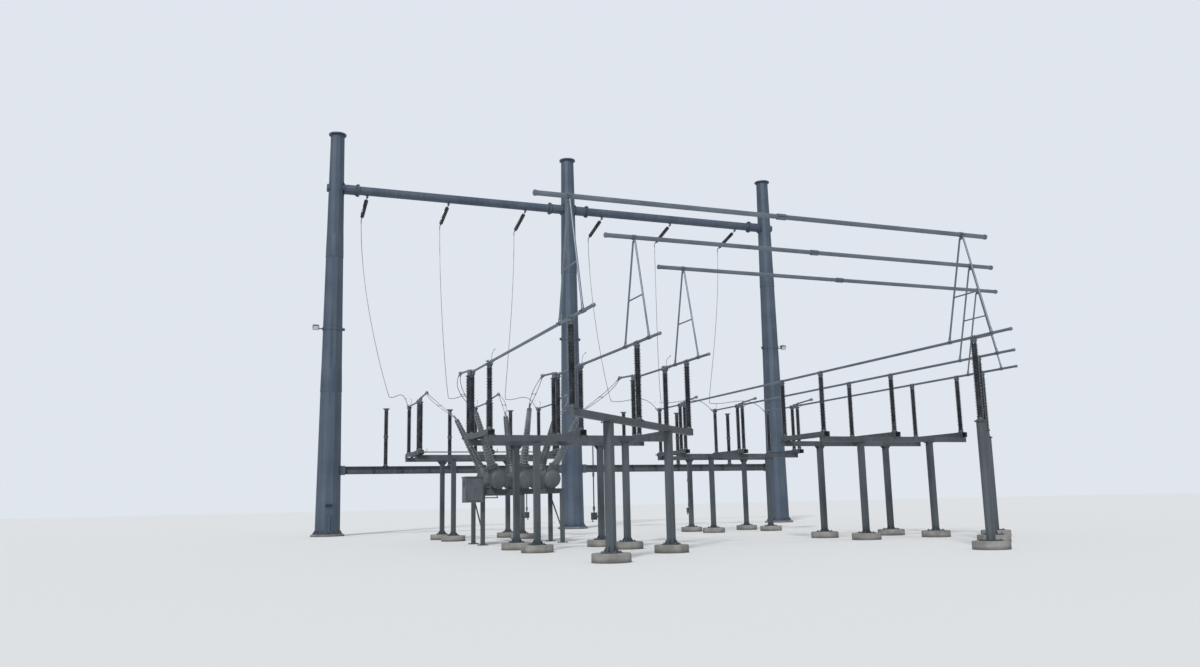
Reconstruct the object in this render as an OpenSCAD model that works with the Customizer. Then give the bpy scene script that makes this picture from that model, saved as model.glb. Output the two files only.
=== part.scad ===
// Outdoor switchgear bay: a two-bay take-off gantry, three high bus tubes and two rows of
// low bus tubes, post insulators, disconnect switches and a dead-tank circuit breaker.
// X runs along the gantry, Y runs away from the front of the yard, Z is up, in millimetres.
// The origin lies on the ground, in the middle of the yard.

/* [Gantry] */
// Distance between two neighbouring gantry poles
gantry_bay = 15100; // [13000:100:17000]
// Height of a gantry pole above the ground
pole_h = 24500; // [23000:100:27000]
// Width of a gantry pole at its foot
pole_base_d = 1450; // [1200:10:1600]
// Width of the base plate of a gantry pole, across its corners
pole_plate_w = 1710; // [1650:10:1800]
// Width of a gantry pole at its top
pole_top_d = 840; // [700:10:1000]
// Number of flat sides of a gantry pole
pole_sides = 12; // [8:1:12]
// Width of the cap disc on a gantry pole
cap_d = 1060; // [1000:10:1200]
// Thickness of the cap disc
cap_t = 70; // [40:5:120]
// Distance of the strain beams' centre below the pole tops
beam_drop = 3500; // [2500:50:4500]
// Diameter of a strain beam
beam_d = 540; // [400:10:640]
// Diameter of the stub that a pole holds out to a beam
stub_d = 620; // [560:10:700]
// Length of a stub from the centre of its pole
stub_reach = 1300; // [1100:10:1800]
// Diameter of the bolted flanges of the strain beams
beam_flange_d = 800; // [740:10:900]
// Thickness of one bolted flange
beam_flange_t = 45; // [30:5:60]
// Height of the centre of the lower beams
lower_beam_z = 3780; // [3000:10:5000]
// Depth of a lower beam
lower_beam_h = 450; // [300:10:500]
// Width of a lower beam
lower_beam_w = 360; // [250:10:450]
// Height of the bands that carry the lamps
band_z = 12200; // [9000:100:15000]

/* [Strain insulators] */
// Distance between two neighbouring strain insulators, as a share of the bay
strain_share = 0.339; // [0.3:0.001:0.36]
// Offset of the left bay's middle string from the middle of its bay, as a share of the bay
strain_shift_share = -0.037; // [-0.04:0.001:0.04]
// Length of a strain insulator string with its clamp
string_len = 2800; // [2500:10:3200]
// Slope of a string below the horizontal, in degrees
string_slope = 14; // [5:1:30]
// Diameter of a disc of a string
disc_d = 250; // [200:5:300]
// Number of discs in a string
disc_count = 14; // [10:1:16]
// Distance between two discs
disc_pitch = 146; // [130:1:150]

/* [Line arresters] */
// Height of an arrester that stands on a lower beam
arrester_h = 3470; // [2800:10:3800]
// Diameter of the sheds of an arrester
arrester_d = 290; // [240:5:340]
// Distance between two arresters of a bay
arrester_pitch = 3880; // [3300:10:4200]
// Offset of the left bay's middle arrester from the middle of its bay
arrester_shift_left = -400; // [-600:10:600]

/* [Bus tubes] */
// Distance between two phases, along X and along Y
phase_pitch = 3300; // [3000:50:3600]
// Height of the centre of the high bus tubes
high_bus_z = 9740; // [8500:10:11000]
// Diameter of a high bus tube
high_bus_d = 141; // [100:1:168]
// Overhang of a high bus tube past its last support
high_bus_overhang = 970; // [500:10:1400]
// Height of the centre of the low bus tubes
low_bus_z = 6420; // [5800:10:7000]
// Diameter of a low bus tube
low_bus_d = 90; // [70:1:114]
// Overhang of a low bus tube past the high bus that crosses it
low_bus_overhang = 1700; // [1300:10:2200]
// Distance between the feet of a bus strut
strut_spread = 1820; // [1400:10:2200]
// Diameter of the tubes of a bus strut
strut_d = 60; // [45:1:76]
// Share of a strut's height at which its rung lies
rung_share = 0.42; // [0.3:0.01:0.6]

/* [Rows of the yard] */
// Distance of the left line-up's middle phase to the left of the middle pole
left_line_x = 9220; // [8000:10:10500]
// Distance of the right line-up's middle phase to the right of the middle pole
right_line_x = 3940; // [3600:10:5500]
// Distance from the front high bus to the gantry
gantry_setback = 35550; // [34000:50:37000]
// Distance from the front high bus to the left front switches
left_switch_setback = 8400; // [8000:50:9000]
// Distance from the front high bus to the middle of the circuit breaker
breaker_setback = 16400; // [16200:50:17500]
// Distance from the front high bus to the left rear switches
rear_switch_setback = 21300; // [21000:50:23500]
// Distance from the front high bus to the right bus stand
bus_stand_setback = 8200; // [8000:50:10000]
// Distance from the front high bus to the right switches
right_switch_setback = 20750; // [18000:50:21500]

/* [Stands] */
// Height of the top of the diagonal stand's beam
front_stand_z = 4040; // [3900:10:4300]
// Height of the top of the columns under the end insulators
end_column_z = 3850; // [3700:10:4200]
// Distance along Y between two columns under the end insulators
end_column_pitch = 3440; // [3200:10:3600]
// Height of the top of the other stands' beams
stand_top_z = 3940; // [3800:10:4200]
// Depth and width of a stand beam
stand_beam = 200; // [160:10:300]
// Width of a square column of a stand
stand_column = 200; // [150:5:260]
// Overhang of a stand beam past its outer phases
stand_overhang = 140; // [130:10:500]
// Width of the square columns of the diagonal stand
front_column = 340; // [250:10:400]
// Width of a round column under an end insulator
end_column_d = 270; // [200:5:320]
// Distance between the two rows of a switch stand
switch_row_gap = 2500; // [2300:10:3000]
// Distance between the two rows of the right bus stand
bus_row_gap = 2800; // [2400:10:3400]
// Height of the base channel under each phase
base_channel_h = 190; // [150:5:220]
// Width of the base channel under each phase
base_channel_w = 260; // [240:5:300]
// Reach of the gussets that widen the rear columns of a stand under their beam
haunch_reach = 150; // [80:10:200]
// Diameter of a round footing
footing_d = 1100; // [900:10:1200]
// Height of a footing above the ground
footing_h = 250; // [150:10:350]
// Thickness of the base plates
base_plate_t = 30; // [20:1:40]
// Width of the base plates of the stands
base_plate_w = 480; // [440:10:600]
// Diameter of a gantry pole's footing
gantry_footing_d = 1900; // [1850:10:2300]
// Height of a gantry pole's footing above the ground
gantry_footing_h = 120; // [80:10:300]

/* [Insulators] */
// Diameter of the sheds of a post insulator
shed_d = 180; // [160:5:240]
// Diameter of the core between the sheds
core_d = 120; // [90:5:145]
// Number of shed groups modelled on a post insulator
shed_count = 12; // [8:1:16]
// Diameter of the metal cap and foot of a post insulator
metal_cap_d = 170; // [150:5:230]
// Height of the metal cap and foot
metal_cap_h = 90; // [70:5:120]

/* [Switches] */
// Distance between the two insulators at the hinge end
hinge_pair_gap = 500; // [420:10:600]
// Reach of the arm behind a switch's hinge past its last insulator
switch_arm = 1380; // [900:10:1450]
// Diameter of the ball at the end of that arm
arm_ball_d = 150; // [110:5:180]
// Diameter of a switch blade
blade_d = 76; // [60:1:90]
// Clearance round moving pieces
move_gap = 8; // [6:1:12]
// Diameter of a hinge pin
pin_d = 40; // [30:1:50]
// Clearance where one piece is clamped round another
seat_gap = 0.3; // [0.1:0.1:0.5]

/* [Circuit breaker] */
// Distance between two breaker tanks
tank_pitch = 1150; // [1050:10:1500]
// Diameter of a breaker tank
tank_d = 700; // [600:10:800]
// Length of a breaker tank
tank_len = 2300; // [2200:10:2800]
// Height of the centre of the tanks
tank_z = 2650; // [2400:10:2900]
// Length of a bushing from the axis of its tank to its terminal
bushing_len = 3100; // [2900:10:3900]
// Lean of every bushing towards the front or the rear, in degrees
bushing_lean = 21; // [17:1:25]
// Sideways lean of the bushings of the outer tanks, in degrees
bushing_fan = 21; // [15:1:30]
// Diameter of a bushing at its lower shed
bushing_d = 380; // [320:10:440]
// Width, depth and height of the control cabinet
cabinet_size = [740, 620, 1000]; // [600:10:1400]
// Height of the underside of the control cabinet
cabinet_z = 1720; // [1300:10:1800]

/* [Conductors] */
// Diameter of the drop conductors
lead_d = 40; // [25:1:50]
// Diameter of one of the two conductors of a breaker lead
twin_d = 30; // [20:1:36]
// Distance between the two conductors of a lead at its spacer
twin_spread = 160; // [90:10:240]
// Height above its terminal at which a drop conductor turns from its fall to its level run
knee_rise = 1150; // [600:10:2000]
// Distance along Y from a string's clamp to that turn
knee_run = 8180; // [7000:10:9500]
// Share of the whole fall over which a drop conductor hangs straight below its string
hang_share = 0.38; // [0.25:0.01:0.5]
// Number of sides of a conductor
lead_sides = 8; // [6:1:12]

/* [Hidden] */

// Phases are counted from the left, with -1, 0 and 1 as their places
phases = [-1, 0, 1];
round_fn = 24;

// The yard's depth runs from the front ends of the low buses to the drop conductors at the strings
string_run = string_len * cos(string_slope);
string_fall = string_len * sin(string_slope);
beam_z = pole_h - beam_drop;
strain_pitch = strain_share * gantry_bay;
strain_shift_left = strain_shift_share * gantry_bay;
yard_depth = low_bus_overhang + gantry_setback + string_run + lead_d / 2;
front_y = -yard_depth / 2 + low_bus_overhang;
gantry_y = front_y + gantry_setback;
left_x = -left_line_x;
right_x = right_line_x;
left_switch_y = front_y + left_switch_setback;
breaker_y = front_y + breaker_setback;
rear_switch_y = front_y + rear_switch_setback;
bus_stand_y = front_y + bus_stand_setback;
right_switch_y = front_y + right_switch_setback;

// Heights of the switch stands' insulators
channel_top_z = stand_top_z + base_channel_h;
clamp_under = 60;
post_top_z = low_bus_z - low_bus_d / 2 - clamp_under;
post_h = post_top_z - channel_top_z;
front_post_h = post_top_z - front_stand_z;
end_post_h = post_top_z - end_column_z;
column_inset = phase_pitch / 2;
// Places of the diagonal stand's two columns, in phases from its middle
diagonal_columns = [-0.5, 0.54];

// Reach of a terminal pad past the centre of its insulator
pad_reach = 260;
rear_terminal_y = rear_switch_y + switch_row_gap + pad_reach;
right_terminal_y = right_switch_y + switch_row_gap + pad_reach;
// Length of a base channel past its last insulator
channel_overhang = 200;
// Distance of the gang pipe from the ends of the base channels
drive_stand_off = 60;
hinge_drive_reach = hinge_pair_gap + channel_overhang + drive_stand_off;
jaw_drive_reach = channel_overhang + drive_stand_off;
crank_box = [200, 160, 260];
crank_box_z = 1100;
// Rise of the arm behind a hinge above the low bus, at its root and at its ball
arm_rise = [110, 190];
arm_d = 76;

// Half the length of the pole brackets that hold a lower beam
lower_bracket_x = pole_base_d / 2 + 160;
// Places of the three strings of a bay, and the lug and clamp of a string
left_strings = [for (k = phases) -gantry_bay / 2 + strain_shift_left + k * strain_pitch];
right_strings = [for (k = phases) gantry_bay / 2 + k * strain_pitch];
lug_drop = 100;
lug_t = 30;
lug_z = beam_z - beam_d / 2 - lug_drop;
string_end_d = 56;
// Slant at which a drop conductor lands, and how far its square-cut end then keeps off the terminal
drop_landing = [0, 1.6, 1.15];
drop_stand_off = lead_d / 2 * drop_landing[2] / norm(drop_landing) + seat_gap;

// Circuit breaker: height and half spans of its frame, and the turret that holds a bushing
frame_leg = 160;
frame_girder = 200;
tank_saddle_gap = 60;
frame_top_z = tank_z - tank_d / 2 - tank_saddle_gap;
frame_half_x = tank_pitch + 560;
frame_half_y = tank_len / 2 - 350;
turret_y = tank_len / 2 - 420;
turret_rise = tank_d / 2 + 260;
// A lead's handle behind the ball of an arm, outward and down, and above its bushing
lead_handle = [1130, -510];
lead_rise = 125;
// Share of a lead at which its spacer sits, seen from the arm
spacer_share = 0.41;

// Width of a pole at a height above the ground
function pole_d_at(z) = pole_base_d + (pole_top_d - pole_base_d) * z / pole_h;
// Distance from a pole's centre to its flat side at a height
function pole_flat(z) = pole_d_at(z) / 2 * cos(180 / pole_sides);
function phase_x(middle, k) = middle + k * phase_pitch;
function high_bus_y(k) = front_y + (k + 1) * phase_pitch;

// Colours
steel = [0.52, 0.55, 0.58];
pale_steel = [0.62, 0.65, 0.67];
aluminium = [0.72, 0.74, 0.76];
porcelain = [0.34, 0.35, 0.37];
concrete = [0.62, 0.60, 0.56];
paint = [0.60, 0.64, 0.62];

// A point on a cubic curve given by its two ends and two handles, and its direction there
function curve_at(p, t) =
    pow(1 - t, 3) * p[0] + 3 * t * pow(1 - t, 2) * p[1] + 3 * t * t * (1 - t) * p[2] + pow(t, 3) * p[3];
function curve_along(p, t) =
    pow(1 - t, 2) * (p[1] - p[0]) + 2 * t * (1 - t) * (p[2] - p[1]) + t * t * (p[3] - p[2]);

// A round conductor along one or more cubic curves that join smoothly
module conductor(curves, d, rings) {
    last = curves[len(curves) - 1];
    places = concat([for (c = curves, i = [0:rings - 1]) [curve_at(c, i / rings), curve_along(c, i / rings)]],
        [[last[3], last[3] - last[2]]]);
    count = len(places) - 1;
    points = [for (place = places) let (
            along = place[1] / norm(place[1]),
            side = cross(along, [1, 0, 0]),
            u = side / norm(side),
            w = cross(along, u))
        for (s = [0:lead_sides - 1])
            place[0] + d / 2 * (cos(360 * s / lead_sides) * u + sin(360 * s / lead_sides) * w)];
    faces = concat(
        [[for (s = [0:lead_sides - 1]) s]],
        [for (i = [0:count - 1], s = [0:lead_sides - 1]) let (n = (s + 1) % lead_sides)
            [i * lead_sides + s, (i + 1) * lead_sides + s, (i + 1) * lead_sides + n, i * lead_sides + n]],
        [[for (s = [lead_sides - 1:-1:0]) count * lead_sides + s]]);
    polyhedron(points, faces, convexity = 10);
}

// A round bar between two points
module bar(a, b, d, fn = round_fn) {
    v = b - a;
    translate(a) rotate([0, acos(v[2] / norm(v)), atan2(v[1], v[0])])
        cylinder(h = norm(v), d = d, $fn = fn);
}

// A box centred in X and Y that stands on a height
module post_box(size, at) {
    translate([at[0] - size[0] / 2, at[1] - size[1] / 2, at[2]]) cube(size);
}

// A tube along X between two places
module tube_x(x0, x1, y, z, d) {
    translate([x0, y, z]) rotate([0, 90, 0]) cylinder(h = x1 - x0, d = d, $fn = round_fn);
}

// A tube along Y between two places
module tube_y(x, y0, y1, z, d) {
    translate([x, y0, z]) rotate([-90, 0, 0]) cylinder(h = y1 - y0, d = d, $fn = round_fn);
}

// The bare outline of a post insulator: metal foot, sheds that slope outward and down, metal cap
module shed_post(h, shed, core, cap, cap_h, count) {
    body = h - 2 * cap_h;
    pitch = body / count;
    rotate_extrude($fn = round_fn) polygon(concat(
        [[0, 0], [cap / 2, 0], [cap / 2, cap_h], [core / 2, cap_h]],
        [for (i = [0:count - 1]) let (z = cap_h + i * pitch) each [
            [core / 2, z + pitch * 0.15],
            [shed / 2, z + pitch * 0.30],
            [shed / 2, z + pitch * 0.42],
            [core / 2, z + pitch * 0.85]]],
        [[core / 2, h - cap_h], [cap / 2, h - cap_h], [cap / 2, h], [0, h]]));
}

// A post insulator that stands at a place
module post_insulator(x, y, z, h) {
    translate([x, y, z]) shed_post(h, shed_d, core_d, metal_cap_d, metal_cap_h, shed_count);
}

// A clamp with a foot plate that holds a tube along Y above an insulator
module bus_clamp(x, y) {
    length = 180;
    width = low_bus_d + 70;
    difference() {
        union() {
            post_box([width, length, clamp_under + low_bus_d / 2 + 45], [x, y, post_top_z]);
            translate([x, y, post_top_z]) cylinder(h = 25, d = metal_cap_d, $fn = round_fn);
        }
        tube_y(x, y - length, y + length, low_bus_z, low_bus_d + 2 * seat_gap);
    }
}

// A square column with its base plate, and gussets under its beam where haunch isn't 0
module square_column(x, y, width, top_z, haunch = 0) {
    post_box([base_plate_w, base_plate_w, base_plate_t], [x, y, footing_h]);
    post_box([width, width, top_z - footing_h - base_plate_t], [x, y, footing_h + base_plate_t]);
    for (turn = [0, 90]) translate([x, y, footing_h + base_plate_t]) rotate([90, 0, turn])
        linear_extrude(height = 14, center = true)
            polygon([[-base_plate_w / 2 + 15, 0], [base_plate_w / 2 - 15, 0],
                [width / 2, 170], [-width / 2, 170]]);
    if (haunch > 0) translate([x, y, top_z]) rotate([90, 0, 0])
        linear_extrude(height = 14, center = true)
            polygon([[-width / 2 - haunch, 0], [-width / 2, -1.3 * haunch],
                [width / 2, -1.3 * haunch], [width / 2 + haunch, 0]]);
}

// A round footing that stands proud of the ground, with a chamfered rim
module footing(x, y, d, h) {
    chamfer = 20;
    translate([x, y, 0]) rotate_extrude($fn = 48)
        polygon([[0, 0], [d / 2, 0], [d / 2, h - chamfer], [d / 2 - chamfer, h], [0, h]]);
}

module gantry_pole(x, sides) {
    color(steel) translate([x, gantry_y, 0]) {
        translate([0, 0, gantry_footing_h]) rotate(180 / pole_sides)
            cylinder(h = 60, d = pole_plate_w, $fn = pole_sides);
        difference() {
            rotate(180 / pole_sides)
                cylinder(h = pole_h - cap_t, d1 = pole_base_d, d2 = pole_top_d, $fn = pole_sides);
            translate([0, 0, -1]) cylinder(h = gantry_footing_h + 1, d = pole_plate_w, $fn = pole_sides);
        }
        translate([0, 0, pole_h - cap_t]) cylinder(h = cap_t, d = cap_d, $fn = 48);
        translate([0, 0, band_z - 90]) rotate(180 / pole_sides)
            cylinder(h = 180, d = pole_d_at(band_z) + 60, $fn = 12);
        for (side = sides) {
            // Stub with its flange towards the strain beam
            translate([0, 0, beam_z]) rotate([0, 90 * side, 0]) {
                cylinder(h = stub_reach - beam_flange_t, d = stub_d, $fn = 12);
                translate([0, 0, stub_reach - beam_flange_t])
                    cylinder(h = beam_flange_t, d = beam_flange_d, $fn = 48);
            }
            // Bracket for the lower beam
            translate([side * lower_bracket_x / 2, 0, lower_beam_z])
                cube([lower_bracket_x, lower_beam_w + 60, lower_beam_h + 80], center = true);
        }
        // A pole with no beam on one side shows the end plate of the through stub there
        if (len(sides) == 1) translate([0, 0, beam_z]) rotate([0, -90 * sides[0], 0])
            cylinder(h = pole_flat(beam_z) + 110, d = stub_d - 120, $fn = 12);
    }
}

module gantry_pole_left() { gantry_pole(-gantry_bay, [1]); }
module gantry_pole_middle() { gantry_pole(0, [-1, 1]); }
module gantry_pole_right() { gantry_pole(gantry_bay, [-1]); }

module gantry_footings() {
    color(concrete) for (k = phases) footing(k * gantry_bay, gantry_y, gantry_footing_d, gantry_footing_h);
}

module strain_beam(x0, x1, strings) {
    color(steel) {
        difference() {
            union() {
                tube_x(x0, x1, gantry_y, beam_z, beam_d);
                tube_x(x0, x0 + beam_flange_t, gantry_y, beam_z, beam_flange_d);
                tube_x(x1 - beam_flange_t, x1, gantry_y, beam_z, beam_flange_d);
                // Lugs that carry the strings
                for (x = strings) translate([x, gantry_y, lug_z])
                    rotate([90, 0, 90]) linear_extrude(height = lug_t, center = true) union() {
                        circle(d = 110, $fn = 24);
                        translate([-55, 0]) square([110, lug_drop + 60]);
                    }
            }
            for (x = strings) tube_x(x - lug_t, x + lug_t, gantry_y, lug_z, 36);
        }
    }
}

module strain_beam_left() { strain_beam(-gantry_bay + stub_reach, -stub_reach, left_strings); }
module strain_beam_right() { strain_beam(stub_reach, gantry_bay - stub_reach, right_strings); }

module gantry_lower_beams() {
    wall = 16;
    color(steel) for (bay = [-1, 1]) translate([bay * gantry_bay / 2, gantry_y, lower_beam_z]) {
        length = gantry_bay - 2 * lower_bracket_x;
        // An I-section with end plates
        for (side = [-1, 1]) {
            translate([0, 0, side * (lower_beam_h - wall) / 2])
                cube([length, lower_beam_w, wall], center = true);
            translate([side * (length - 30) / 2, 0, 0])
                cube([30, lower_beam_w + 60, lower_beam_h + 80], center = true);
        }
        cube([length, wall, lower_beam_h], center = true);
        for (k = [-3:3]) translate([k * length / 8, 0, 0])
            cube([wall, lower_beam_w - 20, lower_beam_h - 2 * wall], center = true);
    }
}

module lamps() {
    color(pale_steel) for (side = [-1, 1]) {
        face_x = side * (gantry_bay + pole_d_at(band_z) / 2 + 30);
        translate([face_x, gantry_y, band_z]) {
            translate([side < 0 ? -320 : -20, -30, -30]) cube([340, 60, 60]);
            translate([side * 420, -140, 60]) rotate([35, 0, 0]) {
                cube([360, 190, 320], center = true);
                translate([0, -110, 0]) cube([320, 40, 280], center = true);
            }
            translate([side * 320 - 40, -110, -30]) cube([80, 130, 60]);
        }
    }
}

// A cap-and-pin string: fork, discs and dead-end clamp along +Z
module string(x) {
    first = 380;
    translate([x, gantry_y, lug_z]) rotate([-90 - string_slope, 0, 0]) {
        for (side = [-1, 1]) translate([side * (lug_t / 2 + 12 + seat_gap), 0, 30])
            cube([24, 90, 220], center = true);
        rotate([0, 90, 0]) cylinder(h = lug_t + 48, d = 35, center = true, $fn = round_fn);
        translate([0, 0, 110]) cylinder(h = first - 110, d = 60, $fn = round_fn);
        rotate_extrude($fn = round_fn) polygon(concat(
            [[0, first]],
            [for (i = [0:disc_count - 1]) let (z = first + i * disc_pitch) each [
                [50, z], [50, z + 55], [disc_d / 2, z + 85], [disc_d / 2, z + 105], [30, z + 95],
                [30, z + disc_pitch]]],
            [[0, first + disc_count * disc_pitch]]));
        clamp_z = first + disc_count * disc_pitch;
        translate([0, 0, clamp_z]) cylinder(h = string_len - clamp_z, d = string_end_d, $fn = round_fn);
        translate([0, 0, clamp_z + 60]) cube([60, 90, 90], center = true);
    }
}

module strain_insulators_left() { color(porcelain) for (x = left_strings) string(x); }
module strain_insulators_right() { color(porcelain) for (x = right_strings) string(x); }

module line_arresters() {
    cap_h = 60;
    for (bay = [-1, 1], k = phases) {
        shift = bay < 0 ? arrester_shift_left : 0;
        translate([bay * gantry_bay / 2 + shift + k * arrester_pitch, gantry_y,
                lower_beam_z + lower_beam_h / 2]) {
            color(porcelain) shed_post(arrester_h - cap_h, arrester_d, 0.7 * arrester_d,
                0.85 * arrester_d, metal_cap_h, 16);
            color(aluminium) translate([0, 0, arrester_h - cap_h])
                cylinder(h = cap_h, d = arrester_d + 110, $fn = 32);
        }
    }
}

// The clamp end of a string, where its drop conductor begins
function string_end(x) = [x, gantry_y + string_run, lug_z - string_fall];

// A drop conductor falls steeply from its string to a knee behind its phase, runs on nearly
// level and drops to its terminal at the end. Its handles are shares of the heights it falls.
module drop(x, line_x, terminal_y) {
    terminal = [line_x, terminal_y + drop_stand_off, low_bus_z];
    start = string_end(x) - [0, 0, string_end_d / 2 * cos(string_slope) + seat_gap];
    fall = start[2] - terminal[2];
    knee = [terminal[0], start[1] - knee_run, terminal[2] + knee_rise];
    travel = [0, -0.98, -0.17];
    color(aluminium) conductor([
        [start, start - [0, 0, hang_share * fall], knee - 0.03 * fall * travel, knee],
        [knee, knee + 0.2 * fall * travel, terminal + knee_rise * drop_landing, terminal]], lead_d, 14);
}

module drop_conductors_left() {
    for (k = phases) drop(left_strings[k + 1], phase_x(left_x, k), rear_terminal_y);
}
module drop_conductors_right() {
    for (k = phases) drop(right_strings[k + 1], phase_x(right_x, k), right_terminal_y);
}

module high_bus(k) {
    x0 = phase_x(left_x, k) - high_bus_overhang;
    x1 = phase_x(right_x, k) + high_bus_overhang;
    y = high_bus_y(k);
    coupler = phase_x((left_x + right_x) / 2, k);
    color(aluminium) {
        tube_x(x0, x1, y, high_bus_z, high_bus_d);
        tube_x(coupler - 140, coupler + 140, y, high_bus_z, high_bus_d + 44);
        tube_x(x0, x0 + 60, y, high_bus_z, high_bus_d + 24);
        tube_x(x1 - 60, x1, y, high_bus_z, high_bus_d + 24);
    }
}

module high_bus_front() { high_bus(-1); }
module high_bus_middle() { high_bus(0); }
module high_bus_rear() { high_bus(1); }

// An A-shaped strut between a low bus and the high bus above it
module bus_strut(x, y) {
    head_z = high_bus_z - high_bus_d / 2 - 40;
    foot_z = low_bus_z + low_bus_d / 2 + 40;
    rung_z = foot_z + rung_share * (head_z - foot_z);
    head_y = 75;
    function leg_y(z) = strut_spread / 2 + (head_y - strut_spread / 2) * (z - foot_z) / (head_z - foot_z);
    color(aluminium) {
        for (side = [-1, 1])
            bar([x, y + side * strut_spread / 2, foot_z], [x, y + side * head_y, head_z], strut_d);
        bar([x, y - leg_y(rung_z), rung_z], [x, y + leg_y(rung_z), rung_z], strut_d * 0.8);
        // Head saddle round the high bus
        difference() {
            translate([x, y, head_z + 60]) cube([150, 2 * head_y + strut_d + 30, 150], center = true);
            tube_x(x - 200, x + 200, y, high_bus_z, high_bus_d + 2 * seat_gap);
        }
        // Foot saddles round the low bus
        for (side = [-1, 1]) difference() {
            translate([x, y + side * strut_spread / 2, low_bus_z + 12])
                cube([low_bus_d + 60, 130, low_bus_d + 84], center = true);
            tube_y(x, y + side * strut_spread / 2 - 100, y + side * strut_spread / 2 + 100, low_bus_z,
                low_bus_d + 2 * seat_gap);
        }
    }
}

module bus_struts_left() { for (k = phases) bus_strut(phase_x(left_x, k), high_bus_y(k)); }
module bus_struts_right() { for (k = phases) bus_strut(phase_x(right_x, k), high_bus_y(k)); }

module low_bus(x, k, y1) {
    y0 = high_bus_y(k) - low_bus_overhang;
    color(aluminium) {
        tube_y(x, y0, y1, low_bus_z, low_bus_d);
        tube_y(x, y0, y0 + 50, low_bus_z, low_bus_d + 20);
    }
}

module low_buses_left() {
    for (k = phases) low_bus(phase_x(left_x, k), k, left_switch_y - pad_reach - seat_gap);
}
module low_buses_right() {
    end_y = right_switch_y - hinge_pair_gap - pad_reach - seat_gap;
    for (k = phases) low_bus(phase_x(right_x, k), k, end_y);
}

// Where the columns of a stand with two rows and two columns a row stand
function stand_places(middle, y, gap) =
    [for (side = [-1, 1], row = [0, 1]) [middle + side * column_inset, y + row * gap]];
// The diagonal stand's columns stand between its three phases
diagonal_places = [for (k = diagonal_columns) [phase_x(left_x, k), high_bus_y(k)]];
end_places = [for (k = phases) [phase_x(right_x, k), high_bus_y(0) + k * end_column_pitch]];

module stand_footings_left() {
    color(concrete) for (p = concat(diagonal_places, stand_places(left_x, left_switch_y, switch_row_gap),
            stand_places(left_x, rear_switch_y, switch_row_gap)))
        footing(p[0], p[1], footing_d, footing_h);
}
module stand_footings_right() {
    color(concrete) for (p = concat(end_places, stand_places(right_x, bus_stand_y, bus_row_gap),
            stand_places(right_x, right_switch_y, switch_row_gap)))
        footing(p[0], p[1], footing_d, footing_h);
}

module diagonal_stand() {
    length = 2 * phase_pitch * sqrt(2) + 2 * stand_overhang;
    color(steel) {
        translate([left_x, high_bus_y(0), front_stand_z - stand_beam / 2]) rotate(45)
            cube([length, stand_beam, stand_beam], center = true);
        for (p = diagonal_places) translate([p[0], p[1], 0]) rotate(45)
            square_column(0, 0, front_column, front_stand_z - stand_beam);
    }
}

module diagonal_stand_insulators() {
    for (k = phases) {
        color(porcelain) post_insulator(phase_x(left_x, k), high_bus_y(k), front_stand_z, front_post_h);
        color(aluminium) bus_clamp(phase_x(left_x, k), high_bus_y(k));
    }
}

module end_columns() {
    plate_t = 30;
    color(steel) for (p = end_places) {
        post_box([base_plate_w, base_plate_w, base_plate_t], [p[0], p[1], footing_h]);
        translate([p[0], p[1], footing_h + base_plate_t])
            cylinder(h = end_column_z - plate_t - footing_h - base_plate_t, d = end_column_d, $fn = round_fn);
        translate([p[0], p[1], end_column_z - plate_t])
            cylinder(h = plate_t, d = end_column_d + 90, $fn = 32);
    }
}

module end_insulators() {
    for (p = end_places) {
        color(porcelain) post_insulator(p[0], p[1], end_column_z, end_post_h);
        color(aluminium) bus_clamp(p[0], p[1]);
    }
}

// A stand of two portals, with a base channel under each phase
module portal_stand(middle, y, gap, front_reach, rear_reach) {
    length = 2 * phase_pitch + 2 * stand_overhang;
    color(steel) {
        for (p = stand_places(middle, y, gap))
            square_column(p[0], p[1], stand_column, stand_top_z - stand_beam, p[1] > y ? haunch_reach : 0);
        for (row = [0, 1]) translate([middle, y + row * gap, stand_top_z - stand_beam / 2])
            cube([length, stand_beam, stand_beam], center = true);
        for (k = phases) base_channel(phase_x(middle, k), y - front_reach, y + gap + rear_reach);
    }
}

// A channel with its open side down, along Y
module base_channel(x, y0, y1) {
    wall = 12;
    difference() {
        translate([x - base_channel_w / 2, y0, stand_top_z]) cube([base_channel_w, y1 - y0, base_channel_h]);
        translate([x - base_channel_w / 2 + wall, y0 - 1, stand_top_z - 1])
            cube([base_channel_w - 2 * wall, y1 - y0 + 2, base_channel_h - wall + 1]);
    }
}

module bus_stand() {
    portal_stand(right_x, bus_stand_y, bus_row_gap, channel_overhang, channel_overhang);
}

module bus_stand_insulators() {
    for (k = phases, row = [0, 1]) {
        x = phase_x(right_x, k);
        y = bus_stand_y + row * bus_row_gap;
        color(porcelain) post_insulator(x, y, channel_top_z, post_h);
        color(aluminium) bus_clamp(x, y);
    }
}

// A vertical-break switch: one insulator under the jaw and a pair under the hinge.
// facing is 1 where the jaw is in the front row and -1 where it is in the rear row.
function jaw_y(y, facing) = facing > 0 ? y : y + switch_row_gap;
function hinge_y(y, facing) = facing > 0 ? y + switch_row_gap : y;
function arm_end_y(y, facing) = hinge_y(y, facing) + facing * (hinge_pair_gap + switch_arm);

module switch_stand(middle, y, facing) {
    hinge_reach = hinge_pair_gap + channel_overhang;
    portal_stand(middle, y, switch_row_gap,
        facing > 0 ? channel_overhang : hinge_reach, facing > 0 ? hinge_reach : channel_overhang);
}

module switch_insulators(middle, y, facing) {
    color(porcelain) for (k = phases, place = [jaw_y(y, facing), hinge_y(y, facing),
            hinge_y(y, facing) + facing * hinge_pair_gap])
        post_insulator(phase_x(middle, k), place, channel_top_z, post_h);
}

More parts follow.
